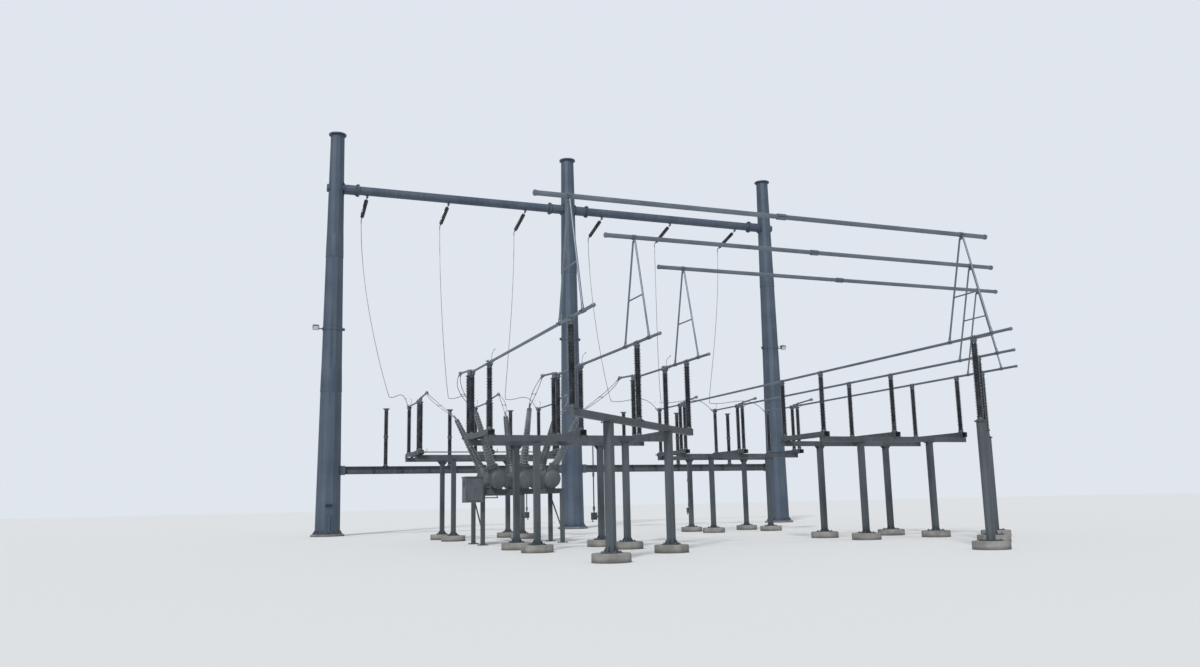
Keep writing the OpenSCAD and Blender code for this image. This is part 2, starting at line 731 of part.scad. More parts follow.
// Jaw, hinge bracket, arcing horn and rear arm of one phase, with a terminal pad at the jaw and,
// where a bus ends there, at the hinge. Here Y runs from the jaw at 0 to the hinge at the row gap.
module switch_contact_set(hinge_pad) {
    cheek_t = 16;
    cheek_gap = blade_d / 2 + move_gap;
    plate_t = 24;
    pad_h = low_bus_z - post_top_z;
    // Jaw: foot plate, two fingers beside the blade's tongue and a terminal pad in front
    post_box([metal_cap_d + 20, metal_cap_d + 20, plate_t], [0, 0, post_top_z]);
    for (side = [-1, 1]) translate([side * (cheek_gap + cheek_t / 2), 0, post_top_z + plate_t])
        translate([-cheek_t / 2, -90, 0]) cube([cheek_t, 180, pad_h + 60]);
    post_box([2 * cheek_gap + 2 * cheek_t, 40, pad_h - plate_t + 30], [0, -110, post_top_z + plate_t]);
    post_box([100, pad_reach - 130, 30], [0, -(pad_reach + 130) / 2, low_bus_z - 15]);
    // Hinge: a bridge over both insulators, two cheeks and the pin
    translate([-(metal_cap_d + 20) / 2, switch_row_gap - 110, post_top_z])
        cube([metal_cap_d + 20, hinge_pair_gap + 220, plate_t]);
    for (side = [-1, 1]) translate([side * (cheek_gap + cheek_t / 2) - cheek_t / 2, switch_row_gap - 70, 0])
        translate([0, 0, post_top_z + plate_t]) cube([cheek_t, 140, pad_h + 50]);
    tube_x(-cheek_gap - cheek_t - 20, cheek_gap + cheek_t + 20, switch_row_gap, low_bus_z, pin_d);
    // Block behind the hinge, with the arm that reaches back to its ball
    last_y = switch_row_gap + hinge_pair_gap;
    translate([-50, switch_row_gap + 150, post_top_z + plate_t])
        cube([100, hinge_pair_gap - 90, pad_h - plate_t + arm_rise[0]]);
    bar([0, last_y, low_bus_z + arm_rise[0]], [0, last_y + switch_arm, low_bus_z + arm_rise[1]], arm_d);
    translate([0, last_y + switch_arm, low_bus_z + arm_rise[1]]) sphere(d = arm_ball_d, $fn = round_fn);
    if (hinge_pad) translate([-50, last_y - 60, low_bus_z - 15]) cube([100, pad_reach + 60, 30]);
    // Arcing horn beside the jaw
    horn_x = cheek_gap + cheek_t + 4;
    bar([horn_x, 30, low_bus_z + 40], [horn_x + 40, 30, low_bus_z + 330], 16, 12);
    bar([horn_x + 40, 30, low_bus_z + 330], [horn_x + 40, -300, low_bus_z + 420], 16, 12);
}

module switch_contacts(middle, y, facing, hinge_pad) {
    color(aluminium) for (k = phases)
        translate([phase_x(middle, k), jaw_y(y, facing), 0]) mirror([0, facing > 0 ? 0 : 1, 0])
            switch_contact_set(hinge_pad);
}

// A blade: eye on the hinge pin, tube and a flat tongue for the jaw
module switch_blade() {
    color(aluminium) difference() {
        union() {
            tube_y(0, 75, switch_row_gap - 30, low_bus_z, blade_d);
            translate([-15, -60, low_bus_z - 35]) cube([30, 160, 70]);
            tube_x(-blade_d / 2 - 3, blade_d / 2 + 3, switch_row_gap, low_bus_z, pin_d + 50);
        }
        tube_x(-blade_d, blade_d, switch_row_gap, low_bus_z, pin_d + 2 * seat_gap);
    }
}

module switch_blades(middle, y, facing) {
    for (k = phases) translate([phase_x(middle, k), jaw_y(y, facing), 0])
        mirror([0, facing > 0 ? 0 : 1, 0]) switch_blade();
}

// Gang drive: a pipe along the stand beside one of its rows, and a down pipe to a crank box on the
// column on one side of that row. reach leads from the row to the pipe.
module switch_drive(middle, row_y, reach, side) {
    facing = sign(reach);
    drive_y = row_y + reach;
    pipe_z = stand_top_z + base_channel_h / 2;
    down_x = middle + side * column_inset;
    strut = abs(reach) - crank_box[1] / 2 - stand_column / 2 - seat_gap;
    color(pale_steel) {
        tube_x(middle - phase_pitch - 200, middle + phase_pitch + 200, drive_y, pipe_z, 50);
        // Bearing blocks on the ends of the base channels
        bearing = drive_stand_off - seat_gap;
        for (k = phases) translate([phase_x(middle, k), drive_y - facing * bearing / 2, pipe_z])
            cube([base_channel_w, bearing, 80], center = true);
        translate([down_x, drive_y, crank_box_z]) cylinder(h = pipe_z - crank_box_z, d = 48, $fn = round_fn);
        translate([down_x, drive_y, crank_box_z]) cube(crank_box, center = true);
        // Bracket from the crank box to the column
        translate([down_x, drive_y - facing * (crank_box[1] + strut) / 2, crank_box_z])
            cube([60, strut, 80], center = true);
    }
}

module left_switch_stand() { switch_stand(left_x, left_switch_y, 1); }
module left_switch_insulators() { switch_insulators(left_x, left_switch_y, 1); }
module left_switch_contacts() { switch_contacts(left_x, left_switch_y, 1, false); }
module left_switch_blades() { switch_blades(left_x, left_switch_y, 1); }
module left_switch_drive() { switch_drive(left_x, hinge_y(left_switch_y, 1), hinge_drive_reach, 1); }

module rear_switch_stand() { switch_stand(left_x, rear_switch_y, -1); }
module rear_switch_insulators() { switch_insulators(left_x, rear_switch_y, -1); }
module rear_switch_contacts() { switch_contacts(left_x, rear_switch_y, -1, false); }
module rear_switch_blades() { switch_blades(left_x, rear_switch_y, -1); }
module rear_switch_drive() { switch_drive(left_x, hinge_y(rear_switch_y, -1), -hinge_drive_reach, 1); }

module right_switch_stand() { switch_stand(right_x, right_switch_y, -1); }
module right_switch_insulators() { switch_insulators(right_x, right_switch_y, -1); }
module right_switch_contacts() { switch_contacts(right_x, right_switch_y, -1, true); }
module right_switch_blades() { switch_blades(right_x, right_switch_y, -1); }
module right_switch_drive() { switch_drive(right_x, jaw_y(right_switch_y, -1), jaw_drive_reach, -1); }

// Circuit breaker: three tanks side by side, whose bushings fan out to the phases
module breaker_frame() {
    half_x = frame_half_x;
    half_y = frame_half_y;
    girder_z = frame_top_z - frame_girder / 2;
    color(steel) translate([left_x, breaker_y, 0]) {
        for (x = [-1, 1], y = [-1, 1]) {
            post_box([frame_leg, frame_leg, frame_top_z - frame_girder], [x * half_x, y * half_y, 0]);
            post_box([360, 360, 30], [x * half_x, y * half_y, 0]);
        }
        for (y = [-1, 1]) translate([0, y * half_y, girder_z])
            cube([2 * half_x + frame_leg, frame_leg, frame_girder], center = true);
        for (x = [-1, 1]) {
            translate([x * half_x, 0, girder_z]) cube([frame_leg, 2 * half_y, frame_girder], center = true);
            bar([x * half_x, -half_y, 500], [x * half_x, half_y, frame_top_z - frame_girder - 50], 60, 12);
        }
    }
}

module breaker_tanks() {
    color(paint) for (k = phases) translate([left_x + k * tank_pitch, breaker_y, tank_z]) {
        tube_y(0, -tank_len / 2, tank_len / 2, 0, tank_d);
        for (side = [-1, 1]) {
            tube_y(0, side * (tank_len / 2 - 40) - 30, side * (tank_len / 2 - 40) + 30, 0, tank_d + 90);
            translate([0, side * frame_half_y, -tank_d / 2 - tank_saddle_gap + 100])
                cube([tank_d * 0.7, 160, 200], center = true);
        }
        // Turret stubs under the bushings
        for (side = [-1, 1]) bar([0, side * turret_y, 0],
            [0, side * turret_y, 0] + turret_rise * bushing_way(k, side), bushing_d + 80);
    }
}

// Direction of a bushing away from its tank, and the place of its terminal
function bushing_way(k, side) = [sin(k * bushing_fan), side * cos(k * bushing_fan) * sin(bushing_lean),
    cos(k * bushing_fan) * cos(bushing_lean)];
function bushing_tip(k, side) = [left_x + k * tank_pitch, breaker_y + side * turret_y, tank_z]
    + bushing_len * bushing_way(k, side);

module breaker_bushings() {
    height = bushing_len - turret_rise;
    flange_h = 90;
    terminal_h = 110;
    for (k = phases, side = [-1, 1]) let (way = bushing_way(k, side))
        translate([left_x + k * tank_pitch, breaker_y + side * turret_y, tank_z])
            rotate([0, acos(way[2]), atan2(way[1], way[0])]) translate([0, 0, turret_rise]) {
                color(paint) cylinder(h = flange_h, d = bushing_d + 80, $fn = round_fn);
                color(porcelain) translate([0, 0, flange_h]) tapered_sheds(height - flange_h - terminal_h);
                color(aluminium) translate([0, 0, height - terminal_h])
                    cylinder(h = terminal_h, d = 90, $fn = round_fn);
            }
}

// A bushing's porcelain, which narrows towards the top
module tapered_sheds(h) {
    count = 14;
    pitch = h / count;
    top = 0.62;
    rotate_extrude($fn = round_fn) polygon(concat(
        [[0, 0]],
        [for (i = [0:count - 1]) let (z = i * pitch, s = 1 - (1 - top) * i / count) each [
            [s * bushing_d * 0.32, z],
            [s * bushing_d / 2, z + pitch * 0.25],
            [s * bushing_d / 2, z + pitch * 0.4],
            [s * bushing_d * 0.32, z + pitch * 0.9]]],
        [[bushing_d * 0.2, h], [0, h]]));
}

module breaker_cabinet() {
    color(paint) translate([left_x - frame_half_x - frame_leg / 2 - cabinet_size[0],
            breaker_y - tank_len / 2 - 100, cabinet_z]) {
        cube(cabinet_size);
        translate([-30, -30, cabinet_size[2]]) cube([cabinet_size[0] + 60, cabinet_size[1] + 60, 40]);
        translate([40, -16, 60]) cube([cabinet_size[0] - 80, 17, cabinet_size[2] - 120]);
    }
}

// A lead of two conductors from the breaker to a switch arm, held apart by a spacer.
// side is -1 for the front and 1 for the rear.
module breaker_lead(k, side) {
    handle = [0, -side * lead_handle[0], lead_handle[1]];
    way = bushing_way(k, side);
    arm_y = side < 0 ? arm_end_y(left_switch_y, 1) : arm_end_y(rear_switch_y, -1);
    // The ends lie beside the ball's foremost point, where its surface has already fallen back
    fall_back = 1.6;
    arm = [phase_x(left_x, k), arm_y, low_bus_z + arm_rise[1]]
        + (arm_ball_d / 2 + seat_gap - fall_back) * handle / norm(handle);
    tip = bushing_tip(k, side) + seat_gap * way;
    // The conductors lie side by side at both ends: along X on the ball, square to the bushing at its tip
    near = twin_d / 2 + 3;
    over_ball = [1, 0, 0];
    over_tip = (over_ball - way[0] * way) / norm(over_ball - way[0] * way);
    pull = 3 * spacer_share * pow(1 - spacer_share, 2);
    wide = near + (twin_spread / 2 - near) / pull;
    for (turn = [-1, 1]) conductor([[arm + turn * near * over_ball, arm + handle + turn * wide * over_ball,
        tip + lead_rise * way + turn * near * over_tip, tip + turn * near * over_tip]], twin_d, 12);
    middle = curve_at([arm, arm + handle, tip + lead_rise * way, tip], spacer_share);
    half = twin_spread / 2 * over_ball;
    bar(middle - half, middle + half, twin_d, 12);
}

module breaker_leads() {
    color(aluminium) for (k = phases, side = [-1, 1]) breaker_lead(k, side);
}

gantry_pole_left();
gantry_pole_middle();
gantry_pole_right();
gantry_footings();
strain_beam_left();
strain_beam_right();
gantry_lower_beams();
lamps();
strain_insulators_left();
strain_insulators_right();
line_arresters();
drop_conductors_left();
drop_conductors_right();
high_bus_front();
high_bus_middle();
high_bus_rear();
bus_struts_left();
bus_struts_right();
low_buses_left();
low_buses_right();
stand_footings_left();
stand_footings_right();
diagonal_stand();
diagonal_stand_insulators();
end_columns();
end_insulators();
bus_stand();
bus_stand_insulators();
left_switch_stand();
left_switch_insulators();
left_switch_contacts();
left_switch_blades();
left_switch_drive();
rear_switch_stand();
rear_switch_insulators();
rear_switch_contacts();
rear_switch_blades();
rear_switch_drive();
right_switch_stand();
right_switch_insulators();
right_switch_contacts();
right_switch_blades();
right_switch_drive();
breaker_frame();
breaker_tanks();
breaker_bushings();
breaker_cabinet();
breaker_leads();
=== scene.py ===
"""Looks of an outdoor substation switchgear bay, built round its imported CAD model.

Metres, +Z up, +Y from the front of the yard towards the gantry. The sections follow the yard from the
gantry forward: each holds the sizes, shapes, finish and frame calls of one piece or group of like pieces.
"""

import bpy
import numpy as np
from mathutils import Matrix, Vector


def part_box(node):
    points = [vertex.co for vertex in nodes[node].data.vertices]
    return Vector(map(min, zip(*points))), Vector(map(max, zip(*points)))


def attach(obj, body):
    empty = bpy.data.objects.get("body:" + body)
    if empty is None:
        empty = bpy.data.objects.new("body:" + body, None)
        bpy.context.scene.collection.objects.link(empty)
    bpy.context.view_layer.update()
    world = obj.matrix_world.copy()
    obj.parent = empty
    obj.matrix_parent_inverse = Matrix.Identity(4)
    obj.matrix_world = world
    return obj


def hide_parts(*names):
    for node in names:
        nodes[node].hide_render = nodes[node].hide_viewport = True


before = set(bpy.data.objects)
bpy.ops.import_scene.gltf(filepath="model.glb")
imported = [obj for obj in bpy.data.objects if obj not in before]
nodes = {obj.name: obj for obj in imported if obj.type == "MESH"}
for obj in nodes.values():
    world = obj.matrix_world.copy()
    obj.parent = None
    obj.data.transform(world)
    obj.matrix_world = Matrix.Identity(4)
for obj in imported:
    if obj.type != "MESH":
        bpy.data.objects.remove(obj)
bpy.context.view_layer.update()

# Camera
# A hand-held wide lens at standing eye height, left of the yard, tipped up and a little to one side.
# Its place and turn come from fitting the photograph's poles, tubes and column feet.
IMAGE_WIDTH = 1200
focal_px, centre_row_offset = 967.112, 1.609
pitch, roll, yaw = np.radians([9.800, -1.2066, 21.253])
eye_behind_front_post = np.array([-20.852, -23.510, 1.627])

front_y = sum(corner.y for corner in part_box("high_bus_front")) / 2
ahead = np.array([np.sin(yaw) * np.cos(pitch), np.cos(yaw) * np.cos(pitch), np.sin(pitch)])
level = np.array([np.cos(yaw), -np.sin(yaw), 0.0])
upward = np.cross(level, ahead)
across = level * np.cos(roll) + upward * np.sin(roll)
upright = upward * np.cos(roll) - level * np.sin(roll)

lens = bpy.data.cameras.new("photo_camera")
lens.sensor_width = 36.0
lens.lens = focal_px / IMAGE_WIDTH * lens.sensor_width
lens.shift_y = centre_row_offset / IMAGE_WIDTH
lens.clip_end = 500.0
camera = bpy.data.objects.new("photo_camera", lens)
bpy.context.scene.collection.objects.link(camera)
turn = Matrix(np.column_stack([across, upright, -ahead]).tolist()).to_4x4()
camera.matrix_world = Matrix.Translation(eye_behind_front_post + [0, front_y, 0]) @ turn
bpy.context.scene.camera = camera
bpy.context.scene.view_settings.view_transform = "Standard"


class Wire:
    """One output of a shader node. Arithmetic on it adds Math nodes behind it in the same tree."""

    def __init__(self, tree, socket=None):
        self.tree, self.socket = tree, socket

    def make(self, kind, settings=None, out=0, **sockets):
        """Any other node: settings first, then sockets, named with _ for a space or i0, i1 by place."""
        node = self.tree.nodes.new(kind)
        for key, value in (settings or {}).items():
            if key == "stops":
                ramp = node.color_ramp
                while len(ramp.elements) < len(value):
                    ramp.elements.new(1.0)
                for stop, (place, shade) in zip(ramp.elements, value):
                    stop.position, stop.color = place, (shade, shade, shade, 1.0)
            else:
                setattr(node, key, value)
        for key, value in sockets.items():
            socket = node.inputs[int(key[1:])] if key[1:].isdigit() else node.inputs[key.replace("_", " ")]
            if isinstance(value, Wire):
                self.tree.links.new(value.socket, socket)
            else:
                socket.default_value = value
        return Wire(self.tree, node.outputs[out])

    def __add__(self, other):
        return self.make("ShaderNodeMath", {"operation": "ADD"}, i0=self, i1=other)

    def __mul__(self, other):
        return self.make("ShaderNodeMath", {"operation": "MULTIPLY"}, i0=self, i1=other)

    def ramp(self, *stops):
        """A grey ramp through (place, shade) stops."""
        return self.make("ShaderNodeValToRGB", {"stops": stops}, i0=self)

    def between(self, low, high):
        """The colour that lies between two colours at this wire's value."""
        return self.make("ShaderNodeMix", {"data_type": "RGBA"}, out=2, i0=self, i6=low, i7=high)

    def noise(self, scale, detail=3.0, stretch=(1.0, 1.0, 1.0)):
        """Cloudy noise on this wire's coordinates, drawn out along an axis with a small stretch there."""
        place = self.make("ShaderNodeMapping", i0=self, Scale=stretch)
        return self.make("ShaderNodeTexNoise", Vector=place, Scale=scale, Detail=detail)


def finish(name, colour, roughness, metallic=0.0, bump=None, lift=0.01, **fixed):
    """The look of a material that surface began: each of the first values is a constant or a wire, and
    bump is a wire of heights, scaled by lift metres."""
    tree = materials[name].node_tree
    shader = tree.nodes["Principled BSDF"]
    for socket, value in [("Base Color", colour), ("Roughness", roughness), ("Metallic", metallic)]:
        if isinstance(value, Wire):
            tree.links.new(value.socket, shader.inputs[socket])
        else:
            shader.inputs[socket].default_value = value
    for socket, value in fixed.items():
        shader.inputs[socket.replace("_", " ")].default_value = value
    if bump is not None:
        bumped = bump.make("ShaderNodeBump", Height=bump, Distance=lift, Strength=1.0)
        tree.links.new(bumped.socket, shader.inputs["Normal"])
    return materials[name]


materials = {}


def surface(name):
    """A new node material, and the wire of its object coordinates to build on."""
    materials[name] = bpy.data.materials.new(name)
    materials[name].use_nodes = True
    return Wire(materials[name].node_tree).make("ShaderNodeTexCoord", out=3)


# Yard floor and studio light
# A pale level floor to stand on, a pale sky and one soft sun: none of it is the bay.
surface("studio_floor")
floor_finish = finish("studio_floor", (0.78, 0.78, 0.77, 1.0), 0.9)
floor_mesh = bpy.data.meshes.new("studio_floor")
floor_half = 400.0
floor_corners = [(x * floor_half, y * floor_half, 0.0) for x, y in ((-1, -1), (1, -1), (1, 1), (-1, 1))]
floor_mesh.from_pydata(floor_corners, [], [(0, 1, 2, 3)])
floor_mesh.materials.append(floor_finish)
floor = bpy.data.objects.new("studio_floor", floor_mesh)
bpy.context.scene.collection.objects.link(floor)

world = bpy.data.worlds.new("studio_sky")
world.use_nodes = True
bpy.context.scene.world = world
rays = world.node_tree.nodes.new("ShaderNodeLightPath")
seen = Wire(world.node_tree, rays.outputs["Is Camera Ray"])
mirrored = Wire(world.node_tree, rays.outputs["Is Glossy Ray"])
background = world.node_tree.nodes["Background"]
world.node_tree.links.new((seen * 0.32 + mirrored * 0.1 + 0.55).socket, background.inputs["Strength"])
background.inputs["Color"].default_value = (0.86, 0.91, 0.98, 1.0)

sun_data = bpy.data.lights.new("soft_sun", "SUN")
sun_data.energy = 2.2
sun_data.angle = np.radians(8.0)
sun = bpy.data.objects.new("soft_sun", sun_data)
sun.rotation_euler = np.radians([48.0, 0.0, -35.0])
bpy.context.scene.collection.objects.link(sun)

# Gantry poles
# Twelve-sided tapered tubes of folded plate, seam-welded and galvanised whole, slipped together in three
# lengths, stood on ribbed base plates over anchor bolts and girdled by bolted bands.


class Shape:
    """Points, with faces kept as one run of corner numbers and a count of corners for each face."""

    def __init__(self, points, corners, counts):
        self.points, self.corners, self.counts = points, corners, counts

    def __add__(self, other):
        return Shape(np.concatenate([self.points, other.points]),
                     np.concatenate([self.corners, other.corners + len(self.points)]),
                     np.concatenate([self.counts, other.counts]))

    def __mul__(self, size):
        return Shape(self.points * size, self.corners, self.counts)

    def at(self, places):
        """A copy at every place, a place being an origin and three axes; all the copies at once."""
        moved = places[:, None, 0] + np.einsum("pk,mkj->mpj", self.points, places[:, 1:])
        shift = np.arange(len(places))[:, None] * len(self.points)
        return Shape(moved.reshape(-1, 3), (self.corners + shift).ravel(), np.tile(self.counts, len(places)))


def facing(points, out=(0, 0, 1), side=None):
    """Places at points, with their third axis along out and their first as near to side as can be."""
    points = np.atleast_2d(np.asarray(points, float))
    out = np.broadcast_to(np.asarray(out, float), points.shape)
    out = out / np.linalg.norm(out, axis=1, keepdims=True)
    if side is None:
        side = np.where(abs(out[:, :1]) > 0.999, (0, 1, 0), (1, 0, 0))
    side = np.broadcast_to(np.asarray(side, float), points.shape)
    side = side - out * (side * out).sum(1, keepdims=True)
    side = side / np.linalg.norm(side, axis=1, keepdims=True)
    return np.stack([points, side, np.cross(out, side), out], axis=1)


def ring_of(centre, out, radius, count, start=0.0):
    """Places evenly round a circle about an axis, all looking along it."""
    centre, out = np.asarray(centre, float), np.asarray(out, float)
    first = facing(centre, out, (0, 0, 1) if abs(out[2]) < 0.9 else (1, 0, 0))[0]
    angle = (start + np.arange(count) * 2 * np.pi / count)[:, None]
    return facing(centre + radius * (np.cos(angle) * first[1] + np.sin(angle) * first[2]), out, first[1])


def fins(centre, axis, radius, count, start=0.0):
    """Places round an axis for flat ribs: their first axis lies along it, their second points away."""
    spots = ring_of(centre, axis, radius, count, start)[:, 0]
    away = (spots - np.asarray(centre, float)) / radius
    return facing(spots, np.cross(np.broadcast_to(np.asarray(axis, float), away.shape), away), axis)


def wrap(rows):
    """The skin over rows of points that each go once round the piece, with a face at both ends."""
    count, around = rows.shape[:2]
    index = np.arange(count * around).reshape(count, around)
    after = np.roll(index, -1, axis=1)
    quads = np.stack([index[:-1], after[:-1], after[1:], index[1:]], axis=-1).ravel()
    corners = np.concatenate([quads, index[0, ::-1], index[-1]])
    counts = np.concatenate([np.full((count - 1) * around, 4), [around, around]])
    return Shape(rows.reshape(-1, 3), corners, counts)


def turned(profile, around=24, start=0.0):
    """A profile of (radius, height) turned round the third axis: radius times cosine and sine, height."""
    profile = np.asarray(profile, float)
    angle = start + np.arange(around) * 2 * np.pi / around
    ring = np.stack([np.cos(angle), np.sin(angle)], axis=-1)
    flat = profile[:, None, :1] * ring
    return wrap(np.concatenate([flat, np.broadcast_to(profile[:, None, 1:], flat.shape[:2] + (1,))], axis=-1))


def plate(outline, thick, ease=0.003):
    """A flat plate with eased rims: the outline, drawn in by the easing where it meets both faces."""
    outline = np.asarray(outline, float)
    edge = np.roll(outline, -1, axis=0) - outline
    inward = np.stack([-edge[:, 1], edge[:, 0]], axis=1) / np.linalg.norm(edge, axis=1, keepdims=True)
    before = np.roll(inward, 1, axis=0)
    inner = outline + ease * (inward + before) / (1 + (inward * before).sum(1, keepdims=True))
    half = thick / 2
    layers = [(inner, -half), (outline, ease - half), (outline, half - ease), (inner, half)]
    return wrap(np.stack([np.column_stack([line, np.full(len(line), z)]) for line, z in layers]))


def oblong(width, height, corner):
    """A rectangle round the origin with its corners rounded in arcs."""
    centres = np.array([(1, 1), (-1, 1), (-1, -1), (1, -1)]) * [width / 2 - corner, height / 2 - corner]
    angle = np.arange(4)[:, None] * np.pi / 2 + np.linspace(0, np.pi / 2, 4)
    arc = corner * np.stack([np.cos(angle), np.sin(angle)], axis=-1)
    return (centres[:, None] + arc).reshape(-1, 2)


def grid(*axes):
    """Every point whose coordinates come one from each of three lists."""
    meshed = np.meshgrid(*[np.atleast_1d(axis) for axis in axes], indexing="ij")
    return np.stack(meshed, axis=-1).reshape(-1, 3)


# A washer, a chamfered hexagon nut and the end of its bolt, for a bolt one unit thick
NUT = (turned([(1.05, 0), (1.05, 0.15)], 10)
       + turned([(0.82, 0.15), (0.9, 0.22), (0.9, 0.86), (0.8, 0.95)], 6)
       + turned([(0.5, 0.95), (0.5, 1.22), (0.42, 1.3)], 6))


def bolts(size, points, out=(0, 0, 1)):
    """Bolts of a size with their nuts at points, their ends pointing along out."""
    return (NUT * size).at(facing(points, out))


def bolt_ring(size, *circle):
    """Bolts of a size with their nuts round a circle, which ring_of takes."""
    return (NUT * size).at(ring_of(*circle))


def block(width, height, corner, thick, points, out=(0, 0, 1), side=None, ease=0.003):
    """Flat plates with rounded corners at points, facing along out."""
    return plate(oblong(width, height, corner), thick, ease).at(facing(points, out, side))


def together(shapes):
    """Several shapes as one."""
    whole = shapes[0]
    for shape in shapes[1:]:
        whole = whole + shape
    return whole


def piece(name, parts, body="bay", replaces=()):
    """One object of the bay from (shape, material) pairs, smooth where faces bend less than 32 degrees."""
    whole, finishes = together([shape for shape, _ in parts]), []
    mesh = bpy.data.meshes.new(name)
    for _, material in parts:
        if material not in finishes:
            finishes.append(material)
            mesh.materials.append(material)
    mesh.vertices.add(len(whole.points))
    mesh.vertices.foreach_set("co", whole.points.astype(np.float32).ravel())
    mesh.loops.add(len(whole.corners))
    mesh.loops.foreach_set("vertex_index", whole.corners.astype(np.int32))
    mesh.polygons.add(len(whole.counts))
    mesh.polygons.foreach_set("loop_start", np.r_[0, np.cumsum(whole.counts)[:-1]].astype(np.int32))
    shades = np.repeat([finishes.index(material) for _, material in parts],
                       [len(shape.counts) for shape, _ in parts])
    mesh.polygons.foreach_set("material_index", shades.astype(np.int32))
    mesh.update(calc_edges=True)
    mesh.shade_smooth()
    mesh.set_sharp_from_angle(angle=np.radians(32.0))
    thing = bpy.data.objects.new(name, mesh)
    bpy.context.scene.collection.objects.link(thing)
    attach(thing, body)
    if replaces:
        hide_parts(*replaces)


def coat(material, *names):
    """The finish of solids that keep their own mesh."""
    for name in names:
        nodes[name].data.materials.clear()
        nodes[name].data.materials.append(material)


def zinc(name, dull, bright):
    """Hot-dip zinc gone dull: cloudy patches, streaks that run down and a fine grain, between two colours."""
    place = surface(name)
    streak = place.noise(5.0, 4.0, (1.0, 1.0, 0.05))
    grain = place.noise(40.0, 2.0)
    tone = (place.noise(0.6, 4.0) * 0.45 + streak * 0.4 + grain * 0.15).ramp((0.38, 0.0), (0.62, 1.0))
    return finish(name, tone.between(dull, bright), streak * 0.25 + 0.42, 0.25, grain, 0.0006)


pole_zinc = zinc("pole_zinc", (0.048, 0.068, 0.100, 1.0), (0.085, 0.112, 0.152, 1.0))
galvanised_steel = zinc("galvanised_steel", (0.050, 0.063, 0.072, 1.0), (0.096, 0.114, 0.126, 1.0))

place = surface("bolt_zinc")
speck = place.noise(25.0, 3.0)
tone = speck.ramp((0.35, 0.0), (0.65, 1.0))
bolt_zinc = finish("bolt_zinc", tone.between((0.10, 0.11, 0.12, 1.0), (0.20, 0.215, 0.23, 1.0)),
                   speck * 0.3 + 0.3, 0.6)

place = surface("shadow_black")
shadow_black = finish("shadow_black", place.noise(8.0, 3.0).ramp((0.3, 0.0), (0.7, 1.0)).between(
    (0.010, 0.011, 0.013, 1.0), (0.028, 0.030, 0.034, 1.0)), 0.7)

POLE_HEIGHT, BEAM_Z, STUB_REACH, BAND_Z = 24.5, 21.0, 1.3, 12.2
FOOTING_RADIUS, BASE_TOP = 0.95, 0.18
low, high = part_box("gantry_footings")
gantry_y = (low.y + high.y) / 2
pole_x = np.array([low.x + FOOTING_RADIUS, 0.0, high.x - FOOTING_RADIUS])
flat = np.cos(np.radians(15))


def pole_radius(z):
    """Distance from a pole's axis to its corners at a height."""
    return 0.725 - 0.305 * z / POLE_HEIGHT


ground = facing(grid(pole_x, gantry_y, 0.0))
rib = plate([(0, 0), (0, 0.12), (0.02, 0.12), (0.17, 0.02), (0.17, 0)], 0.02)
foot_ribs = rib.at(fins((0, 0, BASE_TOP), (0, 0, 1), 0.697, 12))
anchors = bolt_ring(0.045, (0, 0, BASE_TOP), (0, 0, 1), 0.769, 24, np.radians(7.5))
sleeves = [turned([(pole_radius(z) + 0.013, z), (pole_radius(z) + 0.016, z + 0.03),
                   (pole_radius(z + 1.4) + 0.005, z + 1.4), (pole_radius(z) - 0.08, z + 1.41)],
                  12, np.radians(15)) for z in (8.4, 16.6)]
ear_x = pole_radius(BAND_Z) * flat + 0.09
ear = block(0.15, 0.16, 0.02, 0.014, [(0, -0.02, 0), (0, 0.02, 0)], (0, 1, 0))
ear_nuts = together([bolts(0.02, grid(0.02, side * 0.027, (-0.045, 0.045)), (0, side, 0))
                     for side in (-1, 1)])
ear_places = facing(grid((pole_x[0] + ear_x, -ear_x, ear_x, pole_x[2] - ear_x), gantry_y, BAND_Z), (0, 0, 1),
                    [(1, 0, 0), (-1, 0, 0), (1, 0, 0), (-1, 0, 0)])
joints_x = np.array([pole_x[0] + STUB_REACH, -STUB_REACH, STUB_REACH, pole_x[2] - STUB_REACH])
toward_pole = np.array([-1, 1, -1, 1])
stub_rib = plate([(0, 0), (0, 0.075), (0.02, 0.075), (0.12, 0.012), (0.12, 0)], 0.014)
collar = turned([(0.39, 0), (0.39, 0.02), (0.32, 0.05)])
joint_nuts, stub_ribs, collars = [], [], []
for x, way in zip(joints_x, toward_pole):
    for side in (-1, 1):
        joint_nuts.append(bolt_ring(0.03, (x + side * 0.045, gantry_y, BEAM_Z), (side, 0, 0), 0.357, 16))
    stub_ribs.append(stub_rib.at(fins((x + way * 0.045, gantry_y, BEAM_Z), (way, 0, 0), 0.308, 8, 0.2)))
    face_x = x + way * (STUB_REACH - pole_radius(BEAM_Z) * flat)
    collars.append(collar.at(facing((face_x, gantry_y, BEAM_Z), (-way, 0, 0))))

